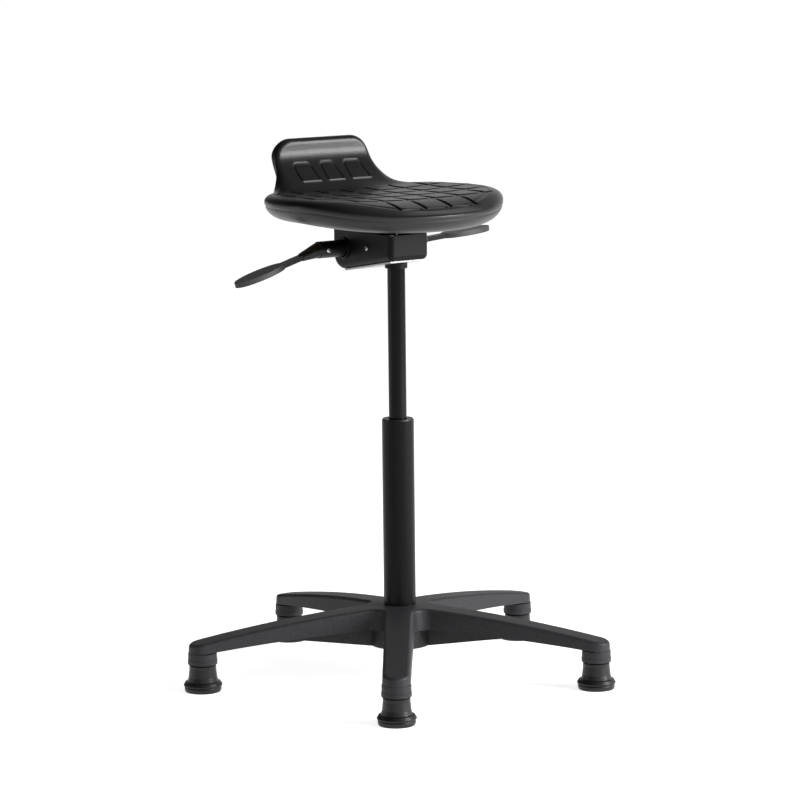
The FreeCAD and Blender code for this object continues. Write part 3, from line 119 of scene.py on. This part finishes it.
# the room as gloss sees it: white to the right, falling off to the flags on the left and overhead,
# while it lights the object at a low level from every side
picture_right = (0.82, -0.57, 0.0)
room_light = 0.3
way = add(tree, "TexCoord", {})
rightwards = add(tree, "VectorMath", {0: way.outputs["Generated"], 1: picture_right}, operation="DOT_PRODUCT")
upwards = add(tree, "SeparateXYZ", {0: way.outputs["Generated"]})
beside = add(tree, "MapRange", {"Value": rightwards.outputs["Value"], "From Min": -0.45, "From Max": 0.15,
                                "To Min": 0.1, "To Max": 1.0}, interpolation_type="SMOOTHSTEP")
overhead = add(tree, "MapRange", {"Value": upwards.outputs[2], "From Min": 0.2, "From Max": 0.6,
                                  "To Min": 1.0, "To Max": 0.25}, interpolation_type="SMOOTHSTEP")
flagged = add(tree, "Math", {0: beside.outputs[0], 1: overhead.outputs[0]}, operation="MULTIPLY")
path = add(tree, "LightPath", {})
in_gloss = add(tree, "Mix", {0: path.outputs["Is Glossy Ray"], 2: 1.0, 3: flagged.outputs[0]},
               data_type="FLOAT")
level = add(tree, "Mix", {0: seen_by_eye_or_gloss(tree), 2: room_light, 3: in_gloss.outputs[0]},
            data_type="FLOAT")
sky = add(tree, "Background", {"Color": linear("#ffffff"), "Strength": level.outputs[0]})
add(tree, "OutputWorld", {"Surface": sky.outputs[0]})


def soft_box(name, place, aim, width, height, power):
    """An area lamp whose -Z axis runs from its place to what it aims at, with its X axis level."""
    lamp = bpy.data.lights.new(name, "AREA")
    lamp.shape, lamp.size, lamp.size_y, lamp.energy = "RECTANGLE", width, height, power
    box = bpy.data.objects.new(name, lamp)
    bpy.context.scene.collection.objects.link(box)
    back = np.array(place, float) - np.array(aim, float)
    back /= np.linalg.norm(back)
    across = np.cross((0, 0, 1), back)
    across /= np.linalg.norm(across)
    box.matrix_world = standing(across, np.cross(back, across), back, place)


soft_box("front_box", (2.35, -3.1, 1.75), (0, 0, 0.75), 1.7, 2.2, 240)
soft_box("side_strip", (-3.2, 1.9, 0.9), (0, 0, 0.5), 0.25, 2.0, 10)

bpy.context.scene.view_settings.view_transform = "Standard"


# Star base. Five webbed legs on a hub, moulded in one from glass-filled nylon with ribs below. The
# mould is spark eroded, so the skin is an even matt charcoal.

def material(name, color, roughness, **sockets):
    """A principled material, its tree and its shader, whose sockets hold all that is the same all over."""
    made = bpy.data.materials.new(name)
    made.use_nodes = True
    tree = made.node_tree
    tree.nodes.clear()
    shader = add(tree, "BsdfPrincipled", {"Base Color": linear(color), "Roughness": roughness,
                                          **{k.replace("_", " "): v for k, v in sockets.items()}})
    add(tree, "OutputMaterial", {"Surface": shader.outputs[0]})
    return made, tree, shader


def dress(finish, *names):
    """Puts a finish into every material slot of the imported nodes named."""
    for name in names:
        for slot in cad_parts[name].material_slots:
            slot.material = finish


def grain(tree, shader, size_mm, height_mm, detail=2.0):
    """Bump from noise with features size_mm across and height_mm high, on the coordinates it returns."""
    where = add(tree, "TexCoord", {}).outputs["Object"]
    noise = add(tree, "TexNoise", {"Vector": where, "Scale": 1000 / size_mm, "Detail": detail})
    bump = add(tree, "Bump", {"Height": noise.outputs[0], "Distance": height_mm / 1000, "Strength": 1.0})
    tree.links.new(bump.outputs[0], shader.inputs["Normal"])
    return where


# glass-filled nylon, moulded in a spark-eroded mould: charcoal that breaks up into fine lighter specks.
# Its grain and specks are 1.1 and 1.6 mm across, coarser than the real 0.3 mm so that they show.
nylon, tree, shader = material("spark_eroded_nylon", "#242426", 0.55, Specular_IOR_Level=0.3)
where = grain(tree, shader, 1.1, 0.12, 3.0)
specks = add(tree, "TexNoise", {"Vector": where, "Scale": 620.0, "Detail": 2.0})
share = add(tree, "MapRange", {"Value": specks.outputs[0], "From Min": 0.35, "From Max": 0.72})
shade = add(tree, "Mix", {0: share.outputs[0], 6: linear("#222224"), 7: linear("#38383b")}, data_type="RGBA")
tree.links.new(shade.outputs[2], shader.inputs["Base Color"])
# handling leaves it a little smoother in broad patches, about 110 mm apart
patches = add(tree, "TexNoise", {"Vector": where, "Scale": 9.0, "Detail": 2.0})
tone = add(tree, "MapRange", {"Value": patches.outputs[0], "To Min": 0.47, "To Max": 0.60})
tree.links.new(tone.outputs[0], shader.inputs["Roughness"])
dress(nylon, "star_base")


# Bell glides. Polypropylene bells with a stepped flange, each held in a leg's socket by a zinc
# plated steel stem and its spring grip ring.

# polypropylene, moulded smooth: near black with a low sheen, and faint flow marks 4 mm across
glide_plastic, tree, shader = material("moulded_polypropylene", "#151516", 0.4, Specular_IOR_Level=0.35)
where = grain(tree, shader, 4.0, 0.05)
# scuffs about 17 mm across, where the bell has rubbed on the floor and on boxes
scuffs = add(tree, "TexNoise", {"Vector": where, "Scale": 60.0, "Detail": 4.0})
tone = add(tree, "MapRange", {"Value": scuffs.outputs[0], "To Min": 0.3, "To Max": 0.5})
tree.links.new(tone.outputs[0], shader.inputs["Roughness"])
dress(glide_plastic, *[f"glide_bell_{n}" for n in range(1, 6)])

# zinc plate on steel: cool grey metal, clouded in patches about 6 mm across by its passivation
zinc, tree, shader = material("bright_zinc_plate", "#8f9191", 0.28, Metallic=1.0)
where = grain(tree, shader, 0.8, 0.01)
clouds = add(tree, "TexNoise", {"Vector": where, "Scale": 180.0, "Detail": 3.0})
tone = add(tree, "MapRange", {"Value": clouds.outputs[0], "To Min": 0.2, "To Max": 0.38})
tree.links.new(tone.outputs[0], shader.inputs["Roughness"])
dress(zinc, "glide_stems", "stem_grip_rings")


# Column tube and its bush. A drawn steel tube, powder coated satin black and pressed into the hub,
# with a moulded acetal guide bush in its top, whose rim shows.

# polyester powder coat on steel: satin black with a faint orange peel, 2.2 mm from hill to hill
powder, tree, shader = material("satin_powder_coat", "#09090a", 0.34, Specular_IOR_Level=0.12)
grain(tree, shader, 2.2, 0.035)
dress(powder, "column_tube")

# acetal, moulded or turned: plain black and slightly waxy, with tool marks 1.5 mm across
acetal, tree, shader = material("black_acetal", "#121212", 0.42, Specular_IOR_Level=0.35)
grain(tree, shader, 1.5, 0.03)
dress(acetal, "column_bush", "bearing_cage", "rod_guide", "piston", "friction_washers", "axle_bushes",
      "release_plunger")


# Gas lift. A seamless cylinder, stoved gloss black, stands upside down in the column. Its ground rod
# rests on the thrust bearing at the foot of the tube, and rubber parts seal and cushion it.

# stoving enamel: deep black with sharp upright reflections, on a wave 6 mm long
enamel, tree, shader = material("gloss_stoving_enamel", "#060607", 0.16, Specular_IOR_Level=0.12)
where = grain(tree, shader, 6.0, 0.02)
# a film of oil wiped along the cylinder, in streaks 11 mm wide and 170 mm long
wiped = add(tree, "Mapping", {"Vector": where, "Scale": (90.0, 90.0, 6.0)})
film = add(tree, "TexNoise", {"Vector": wiped.outputs[0], "Scale": 1.0, "Detail": 4.0})
tone = add(tree, "MapRange", {"Value": film.outputs[0], "From Min": 0.35, "From Max": 0.75,
                              "To Min": 0.1, "To Max": 0.26})
tree.links.new(tone.outputs[0], shader.inputs["Roughness"])
dress(enamel, "pressure_cylinder")

# ground steel: bright, with rings from the wheel 0.4 mm apart, coarser than the real 0.05 mm to show
ground, tree, shader = material("ground_steel", "#cfd0d0", 0.16, Metallic=1.0)
where = grain(tree, shader, 0.6, 0.006)
rings = add(tree, "Mapping", {"Vector": where, "Scale": (40.0, 40.0, 2500.0)})
wheel = add(tree, "TexNoise", {"Vector": rings.outputs[0], "Scale": 1.0, "Detail": 2.0})
tone = add(tree, "MapRange", {"Value": wheel.outputs[0], "To Min": 0.1, "To Max": 0.24})
tree.links.new(tone.outputs[0], shader.inputs["Roughness"])
dress(ground, "piston_rod", "valve_body", "valve_pin", "thrust_washer_lower", "thrust_washer_upper",
      "bearing_balls", "retaining_clip", "tilt_spring", "disc_spring", "pivot_axle", "lever_pins",
      "lift_lever_rivet", "tilt_lever_rivet")

# nitrile rubber, moulded: dull black that scatters light at its edges, with a grain of 0.9 mm
rubber, tree, shader = material("nitrile_rubber", "#151515", 0.7, Sheen_Weight=0.15, Sheen_Roughness=0.4)
grain(tree, shader, 0.9, 0.05)
dress(rubber, "bump_stop", "piston_seal", "rod_seal")


# Tilt mechanism. A deep drawn steel pan, powder coated, closed below by a zinc plated plate. The axle,
# the clamp and the spring sit inside it, and the seat's plate hangs on the axle.

# powder coat of a fine texture: soft black, a shade lighter where it faces the light. Its grains are
# 1.3 mm across, coarser than the real 0.5 mm so that they show.
housing_paint, tree, shader = material("fine_texture_powder_coat", "#0c0c0d", 0.42, Specular_IOR_Level=0.12)
grain(tree, shader, 1.3, 0.06)
dress(housing_paint, "mechanism_housing", "taper_socket", "seat_plate", "tilt_quadrant", "clamp_bracket",
      "lift_lever_ring", "tilt_lever_ring")
dress(zinc, "bottom_plate", "axle_screws", "clamp_bolt", "clamp_nut", "seat_bolts", "bolt_washers",
      "insert_nuts")


# Levers. A steel rod in a moulded sleeve, riveted through, with a flared boot at the bend and a flat
# oval paddle for the fingers: height on the sitter's right, tilt on the left.

# polyamide, moulded: satin black with a grain of 1.6 mm
sleeve_plastic, tree, shader = material("satin_polyamide", "#0d0d0e", 0.38, Specular_IOR_Level=0.25)
grain(tree, shader, 1.6, 0.05)
dress(sleeve_plastic, "lift_lever_sleeve", "tilt_lever_sleeve", "lift_lever_boot", "tilt_lever_boot")
dress(powder, "lift_lever_rod", "tilt_lever_rod", "lift_trigger")

# polypropylene, moulded: dark grey and a little worn, with a grain of 1.4 mm
paddle_plastic, tree, shader = material("worn_grey_polypropylene", "#2b2b2d", 0.45, Specular_IOR_Level=0.4)
grain(tree, shader, 1.4, 0.06)
dress(paddle_plastic, "lift_lever_paddle", "tilt_lever_paddle")


# Seat. One moulding of integral-skin polyurethane foam round a plywood insert: a dished cushion with a
# rolled rim and a lip behind, its top sunk with L-shaped marks that let air through. Lengths are in
# millimetres until the mesh is made.

# the outline: half its width, and how far it reaches in front of the column and behind it
half_width, nose, tail = 190.0, 143.0, 190.0
middle, half_depth = (tail - nose) / 2, (tail + nose) / 2
front_power, back_power = 1.93, 2.24
# the widest line, lowest at the nose
nose_height, line_rise, line_run = 734.0, 13.8, 130.0
# the top: a dish that rises behind and falls in front
dish_height, dish_radius_doubled = 753.5, 4200.0
back_slope_from, back_slope_run, back_slope_rise = 30.0, 150.0, 5.0
nose_fall_from, nose_fall = -45.0, 0.0026
# the underside: a flat for the seat plate, and the rim's lower edge round it
flat_height, edge_height, edge_rise, edge_run = 716.2, 706.3, 14.3, 173.0
flat_from, flat_blend = 85.0, 52.0
# the roll of the rim, above and below its widest line, and the least height that it keeps above it
roll_above, roll_below = 27.4, 33.0
least_crown, crown_blend = 5.0, 2.0
# the lip: its outline, its wall and its lean
lip_half, lip_top, lip_corner, lip_middle = 90.4, 833.6, 32.0, 790.0
lip_narrowing, narrowing_from = 0.062, 800.0
lip_half_wall, lip_edge = 9.7, 8.5
lip_foot, lip_lean, lean_from, lean_run = 190.0, 28.5, 748.0, 68.0
# where lip and cushion run together: tight behind, and a wide cove in front
tight_blend, cove_blend, cove_run = 5.0, 53.0, 16.0


def smooth(t):
    """0 below 0, 1 above 1, and 3t^2 - 2t^3 between."""
    t = np.clip(t, 0, 1)
    return t * t * (3 - 2 * t)


def inset(x, y):
    """How far in from the outline: (1 - r) / |grad r|, for r = (|x/half|^p + |(y - middle)/depth|^p)^(1/p)."""
    p = np.where(y < middle, front_power, back_power)
    u, v = np.abs(x) / half_width, np.abs(y - middle) / half_depth
    r = np.maximum((u ** p + v ** p) ** (1 / p), 1e-3)
    slope = r ** (1 - p) * np.hypot(u ** (p - 1) / half_width, v ** (p - 1) / half_depth)
    return (1 - r) / slope


def widest(y):
    """Height of the widest line, which rises from the nose to the sides."""
    return nose_height + line_rise * smooth((y + nose) / line_run)


def dish(x, y):
    """Height of the top: a dish x^2/4200, a square-law slope up at the back, and one down over the nose."""
    rise = back_slope_rise * (np.maximum(y - back_slope_from, 0) / back_slope_run) ** 2
    fall = nose_fall * np.maximum(nose_fall_from - y, 0) ** 2
    return dish_height + x ** 2 / dish_radius_doubled + rise - fall


def underside(x, y):
    """Height of the underside: flat over the seat plate, meeting the rim's lower edge outside it."""
    edge = edge_height + edge_rise * smooth((y + nose) / edge_run)
    return flat_height + (edge - flat_height) * smooth((flat_from - inset(x, y)) / flat_blend)


def cushion(x, y, z):
    """Distance outside the cushion, whose rim is a quarter ellipse above and one below the widest line."""
    line, above = widest(y), z > widest(y)
    # the greater of the dish's height and the least crown, blended as (a + b + sqrt((a - b)^2 + c^2)) / 2
    crown = dish(x, y) - line
    crown = (crown + least_crown + np.sqrt((crown - least_crown) ** 2 + crown_blend ** 2)) / 2
    tall = np.where(above, crown, line - underside(x, y))
    wide = np.where(above, roll_above, roll_below)
    a, b = np.maximum(1 - inset(x, y) / wide, 0), (z - line) / tall
    r = np.hypot(a, b) + 1e-6
    return (r - 1) * r / np.hypot(a / wide, b / tall).clip(1e-6)


def lip_rear(z):
    """Where the lip's rear face stands: upright at its foot, then leaning back, then upright."""
    return lip_foot + lip_lean * smooth((z - lean_from) / lean_run)


def rounded(a, b, radius):
    """Distance outside a corner rounded to r: |(max(a, 0), max(b, 0))| + min(max(a, b), 0) - r."""
    return np.hypot(a.clip(0), b.clip(0)) + np.minimum(np.maximum(a, b), 0) - radius


def lip(x, y, z):
    """Distance outside the lip, a slab that narrows upwards, with a rounded outline and rounded edges."""
    beyond_side = np.abs(x) + lip_narrowing * (z - narrowing_from) - (lip_half - lip_corner)
    beyond_top = np.abs(z - lip_middle) - (lip_top - lip_middle - lip_corner)
    outline = rounded(beyond_side, beyond_top, lip_corner)
    through = np.abs(y - lip_rear(z) + lip_half_wall) - lip_half_wall
    return rounded(outline + lip_edge, through + lip_edge, lip_edge)


def seat_body(x, y, z):
    """The cushion and the lip run together: b + (a - b) h - k h (1 - h), with h = (1 + (b - a)/k) / 2."""
    a, b = cushion(x, y, z), lip(x, y, z)
    k = tight_blend + cove_blend * smooth((lip_rear(z) - 1 - y) / cove_run)
    h = np.clip(0.5 + 0.5 * (b - a) / k, 0, 1)
    return b + (a - b) * h - k * h * (1 - h)


def slope_of(field, p):
    """The gradient of a field, from its values 0.05 mm to either side."""
    step = 0.05
    return np.stack([(field(*(p + step * axis).T) - field(*(p - step * axis).T)) / (2 * step)
                     for axis in np.eye(3)], axis=-1)


def settle(p, rounds):
    """Newton's steps p - f grad f / |grad f|^2, each at most 6 mm, that bring points onto the surface."""
    shape = p.shape
    p = p.reshape(-1, 3)
    for _ in range(rounds):
        g = slope_of(seat_body, p)
        step = (seat_body(*p.T) / (g ** 2).sum(-1).clip(0.05))[:, None] * g
        p = p - step * np.minimum(1, 6 / np.linalg.norm(step, axis=-1).clip(1e-9))[:, None]
    return p.reshape(shape)


def rim_line(count):
    """The outline for x > 0 from the back to the nose, x = half cos(a)^(2/p), and its length so far."""
    a = np.radians(np.linspace(90, -90, count))
    p = np.where(a > 0, back_power, front_power)
    x = half_width * np.cos(a).clip(0) ** (2 / p)
    y = middle + half_depth * np.sign(a) * np.abs(np.sin(a)) ** (2 / p)
    return x, y, np.concatenate([[0], np.hypot(np.diff(x), np.diff(y)).cumsum()])


def rough_seat(columns, rows):
    """A closed grid near the surface, which settle() then brings onto it.

    Each column runs from the middle of the top, over the lip or the rim, to the middle of the underside,
    straight between ten rings.
    """
    x, y, along = rim_line(4001)
    behind = slice(0, 2000)
    # the lip's edge, from the middle of its top round its corner and down to the cushion, and how far
    # out on the outline each of its points has its column
    crest_x = np.array([0, 40, 60, 76, 85, 89.5, 92.5, 98, 110, 128])
    crest_z = np.array([834, 834, 834, 829, 819, 806, 795, 782, 770, 762])
    line_x = np.array([0, 42, 62, 76, 84, 90, 96, 103, 113, 128])
    far = np.concatenate([[0], np.hypot(np.diff(crest_x), np.diff(crest_z)).cumsum()])
    start = np.interp(line_x[-1], x[behind], along[behind])
    at = np.linspace(0, far[-1] + along[-1] - start, columns // 2 + 1)
    over_lip = at < far[-1]
    column_x = np.interp(at, far, line_x)
    s = np.where(over_lip, np.interp(column_x, x[behind], along[behind]), start + at - far[-1])
    rx, ry = np.interp(s, along, x), np.interp(s, along, y)
    crest = np.interp(at, far, crest_z)
    lift = smooth((crest - 760) / 40) * over_lip
    pole_y = 10
    inward = np.stack([-rx, pole_y - ry], -1) / np.hypot(rx, pole_y - ry)[:, None]

    def ring(in_mm, z):
        return np.column_stack([rx + in_mm * inward[:, 0], ry + in_mm * inward[:, 1], z * np.ones_like(rx)])

    def on_top(in_mm, sink):
        flat = ring(in_mm, 0)
        return flat + np.outer(dish(flat[:, 0], flat[:, 1]) - sink, (0, 0, 1))

    def raised(low, ahead, z):
        tall = np.column_stack([np.interp(at, far, crest_x), lip_rear(z) - lip_half_wall - ahead, z])
        return low + lift[:, None] * (tall - low)

    line = widest(ry)
    rings = np.stack([
        rx[:, None] * 0 + (0, pole_y, 753.6),
        on_top(60 + 35 * lift, 0),
        raised(on_top(30, 0), 24, 757 + 0.22 * (crest - 757)),
        raised(on_top(22, 0.3), 10, crest - 8),
        raised(on_top(14, 1.5), 0, crest),
        raised(ring(4, line + 5), -10, crest - 8),
        ring(0, line),
        ring(10, line - 20),
        ring(roll_below, line - 30),
        rx[:, None] * 0 + (0, pole_y, flat_height)], 1)
    # the share of a column's points that has been used up at each ring
    used = np.array([0, 36, 52, 64, 68, 72, 84, 90, 95, 100]) / 100
    t = np.interp(np.linspace(0, 1, rows), used, np.arange(10))
    low = np.minimum(t.astype(int), 8)
    part = (t - low)[None, :, None]
    right = rings[:, low] * (1 - part) + rings[:, low + 1] * part
    left = right[-2:0:-1] * (-1, 1, 1)
    return np.concatenate([right, left])


def finer(grid, columns, rows):
    """The grid with more columns and rows, each new point in proportion between its neighbours."""
    c = np.linspace(0, len(grid), columns, endpoint=False)
    ci, cf = c.astype(int), (c % 1)[:, None, None]
    grid = grid[ci] * (1 - cf) + grid[(ci + 1) % len(grid)] * cf
    r = np.linspace(0, grid.shape[1] - 1, rows)
    ri = np.minimum(r.astype(int), grid.shape[1] - 2)
    rf = (r - ri)[None, :, None]
    return grid[:, ri] * (1 - rf) + grid[:, ri + 1] * rf


# evened out coarse, each point drawn towards its neighbours and settled again, then made fine
coarse_columns, coarse_rows, evening_rounds = 224, 60, 14
fine_columns, fine_rows = ((900, 216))
seat_grid = settle(rough_seat(coarse_columns, coarse_rows), 6)
for _ in range(evening_rounds):
    inner = (seat_grid[:, :-2] + 2 * seat_grid[:, 1:-1] + seat_grid[:, 2:]) / 4
    seat_grid[:, 1:-1] = 0.75 * inner + 0.125 * (np.roll(inner, 1, 0) + np.roll(inner, -1, 0))
    seat_grid = settle(seat_grid, 1)
seat_grid = settle(finer(seat_grid, fine_columns, fine_rows), 4)
outward = slope_of(seat_body, seat_grid.reshape(-1, 3)).reshape(seat_grid.shape)
outward /= np.linalg.norm(outward, axis=-1)[..., None]
X, Y, Z = np.moveaxis(seat_grid, -1, 0)


def dent(away, width):
    """A rounded groove's depth share across its line: (1 + cos) / 2 within its width, and 0 outside."""
    return np.where(away < width, 0.5 + 0.5 * np.cos(np.pi * (away / width).clip(0, 1)), 0)


def to_segment(u, v, u1, v1):
    """Distance from (u, v) to the segment from (0, 0) to (u1, v1)."""
    share = ((u * u1 + v * v1) / (u1 ** 2 + v1 ** 2)).clip(0, 1)
    return np.hypot(u - share * u1, v - share * v1)


# L-shaped marks in rows and columns, each a groove along the front and right edges of a pad that
# stands up there and runs out flush with the dish at its back and left
column_pitch, row_pitch, a_column, a_row = 46.8, 49.0, -18.0, 38.0
arm_across, arm_back, mark_width, mark_margin = 35.0, 38.0, 3.2, 6.0
front_row, back_row, rim_margin, fade_from, fade_run = -115.0, 95.0, 17.0, 14.0, 8.0
mark_depth, pad_stand, pad_ramp, pad_length, marks_above = 2.6, 1.1, 2.6, 40.0, 738.0
across = (X - a_column + mark_margin) % column_pitch - mark_margin
back = (Y - a_row + mark_margin) % row_pitch - mark_margin
corner_x, corner_y = X - across, Y - back
on_dish = (Z > marks_above) & (outward[..., 2] > 0.3)
room = on_dish & (inset(corner_x, corner_y) > rim_margin) & (corner_y < back_row) & (corner_y > front_row)
room = room * smooth((inset(X, Y) - fade_from) / fade_run)
nearest_arm = np.minimum(to_segment(across, back, arm_across, 0), to_segment(across, back, 0, arm_back))
marks = dent(nearest_arm, mark_width) * room
run_out = (1 - (np.maximum(across, back) / pad_length).clip(0, 1)) ** 0.8
pads = smooth(across / pad_ramp + 0.3) * smooth(back / pad_ramp + 0.3) * run_out * room

# three rounded squares on the lip's front, the outer two wider and all wider below, cut round on
# three sides with a ledge along the bottom
square_pitch, outer_half, inner_half = 47.0, 15.5, 12.5
square_flare, flare_top, flare_run = 2.0, 794.0, 25.0
square_middle, square_half_height, square_corner = 781.5, 12.5, 5.0
cut_depth, cut_width, cut_foot, cut_fade = 2.4, 2.4, 772.5, 2.5
ledge_height, ledge_width, ledge_stand, squares_above = 769.0, 1.5, 0.6, 760.0
ledge, squares = np.zeros_like(X), np.zeros_like(X)
for place, wide in ((-square_pitch, outer_half), (0, inner_half), (square_pitch, outer_half)):
    w = wide + square_flare * smooth((flare_top - Z) / flare_run)
    beyond_side = np.abs(X - place) - w + square_corner
    beyond_top = np.abs(Z - square_middle) - square_half_height + square_corner
    edge = np.abs(rounded(beyond_side, beyond_top, square_corner))
    low = smooth((cut_foot - Z) / cut_fade)
    squares = np.maximum(squares, dent(edge, cut_width) * (1 - low))
    ledge = np.maximum(ledge, dent(np.abs(Z - ledge_height), ledge_width) * (np.abs(X - place) < w))
in_front = (outward[..., 1] < -0.2) & (Z > squares_above)
squares, ledge = squares * in_front, ledge * in_front

# rolled rim: a shallow valley inside it and a parting line just below its widest, both running out
# towards the lip
valley_inset, valley_width, valley_depth, valley_below = 25.0, 6.0, 0.9, 766.0
valley_end, valley_fade = 110.0, 40.0
parting_drop, parting_width, parting_depth, parting_inset = 6.0, 3.2, 0.9, 8.0
parting_end, parting_fade = 150.0, 20.0
valley = dent(np.abs(inset(X, Y) - valley_inset), valley_width) * (outward[..., 2] > 0.2)
valley = valley * smooth((valley_end - Y) / valley_fade) * (Z < valley_below)
parting = dent(np.abs(Z - widest(Y) + parting_drop), parting_width) * (inset(X, Y) < parting_inset)
parting = parting * (1 - smooth((Y - parting_end) / parting_fade))

# how far the skin is sunk, with pads and ledges standing out of it
sunk = mark_depth * marks - pad_stand * pads + cut_depth * squares
sunk = sunk + valley_depth * valley + parting_depth * parting - ledge_stand * ledge
points = (seat_grid - outward * sunk[..., None]) / 1000

# the grid's first and last rows each close up to one point
count, rows = points.shape[:2]
ring_points = points[:, 1:-1]
ends = points[:, [0, -1]].mean(0)
corners = np.arange(count * (rows - 2)).reshape(count, rows - 2)
following = np.roll(corners, -1, 0)
quads = np.stack([corners[:, :-1], corners[:, 1:], following[:, 1:], following[:, :-1]], -1).reshape(-1, 4)
top_pole, low_pole = corners.size, corners.size + 1
caps = np.concatenate([np.stack([np.full(count, top_pole), corners[:, 0], following[:, 0]], -1),
                       np.stack([np.full(count, low_pole), following[:, -1], corners[:, -1]], -1)])
seat_points = np.concatenate([ring_points.reshape(-1, 3), ends])
seat_mesh = bpy.data.meshes.new("seat_skin")
seat_mesh.from_pydata(seat_points.tolist(), [], quads.tolist() + caps.tolist())
seat_mesh.polygons.foreach_set("use_smooth", np.ones(len(seat_mesh.polygons), bool))
# these attributes carry painted shade in the marks and square cuts, and a painted highlight on the ledges
for name, amount in (("sunk", np.maximum(marks, squares)), ("ledge", ledge)):
    layer = seat_mesh.attributes.new(name, "FLOAT", "POINT")
    layer.data.foreach_set("value", np.concatenate([amount[:, 1:-1].ravel(), [0, 0]]).astype(np.float32))
seat_skin = bpy.data.objects.new("seat_skin", seat_mesh)
bpy.context.scene.collection.objects.link(seat_skin)

# integral-skin polyurethane, moulded in an etched mould: soft black with a leathery grain and dull in its
# marks. Painted shade colours the marks and the lip's square cuts near black, and a painted highlight
# colours the ledges under the squares pale grey. The grain is 1.5 mm across, coarser than the real 0.5 mm
# so that it shows, and the skin clouds over in patches about 45 mm across.
skin, tree, shader = material("integral_skin_polyurethane", "#101011", 0.34, Specular_IOR_Level=0.4)
where = grain(tree, shader, 1.5, 0.26, 3.0)
in_mark = add(tree, "Attribute", {}, attribute_name="sunk").outputs["Fac"]
on_ledge = add(tree, "Attribute", {}, attribute_name="ledge").outputs["Fac"]
clouds = add(tree, "TexNoise", {"Vector": where, "Scale": 22.0, "Detail": 3.0})
base = add(tree, "Mix", {0: clouds.outputs[0], 6: linear("#0c0c0d"), 7: linear("#131414")}, data_type="RGBA")
# painted shade: the marks and square cuts are coloured near black, standing in for the shade in their grooves
painted_shade_in_marks = add(tree, "Mix", {0: in_mark, 6: base.outputs[2], 7: linear("#010101")}, data_type="RGBA")
# painted highlight: the ledges under the squares are coloured pale grey, as if catching the light
painted_highlight_on_ledges = add(tree, "Mix", {0: on_ledge, 6: painted_shade_in_marks.outputs[2], 7: linear("#8c8c8c")}, data_type="RGBA")
tree.links.new(painted_highlight_on_ledges.outputs[2], shader.inputs["Base Color"])
tone = add(tree, "MapRange", {"Value": clouds.outputs[0], "To Min": 0.3, "To Max": 0.4})
dull = add(tree, "Math", {0: in_mark, 1: 0.6, 2: tone.outputs[0]}, operation="MULTIPLY_ADD", use_clamp=True)
tree.links.new(dull.outputs[0], shader.inputs["Roughness"])
seat_mesh.materials.append(skin)
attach(seat_skin, "seat")
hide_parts("seat_foam")

# birch plywood: pale brown, with fibres 17 mm by 170 mm and plies 1.4 mm thick
plywood, tree, shader = material("birch_plywood", "#b08a5e", 0.6)
where = add(tree, "TexCoord", {})
fibres = add(tree, "Mapping", {"Vector": where.outputs["Object"], "Scale": (60.0, 6.0, 700.0)})
figure = add(tree, "TexNoise", {"Vector": fibres.outputs[0], "Scale": 1.0, "Detail": 4.0})
shade = add(tree, "Mix", {0: figure.outputs[0], 6: linear("#8f6b43"), 7: linear("#c9a679")}, data_type="RGBA")
tree.links.new(shade.outputs[2], shader.inputs["Base Color"])
dress(plywood, "seat_insert")
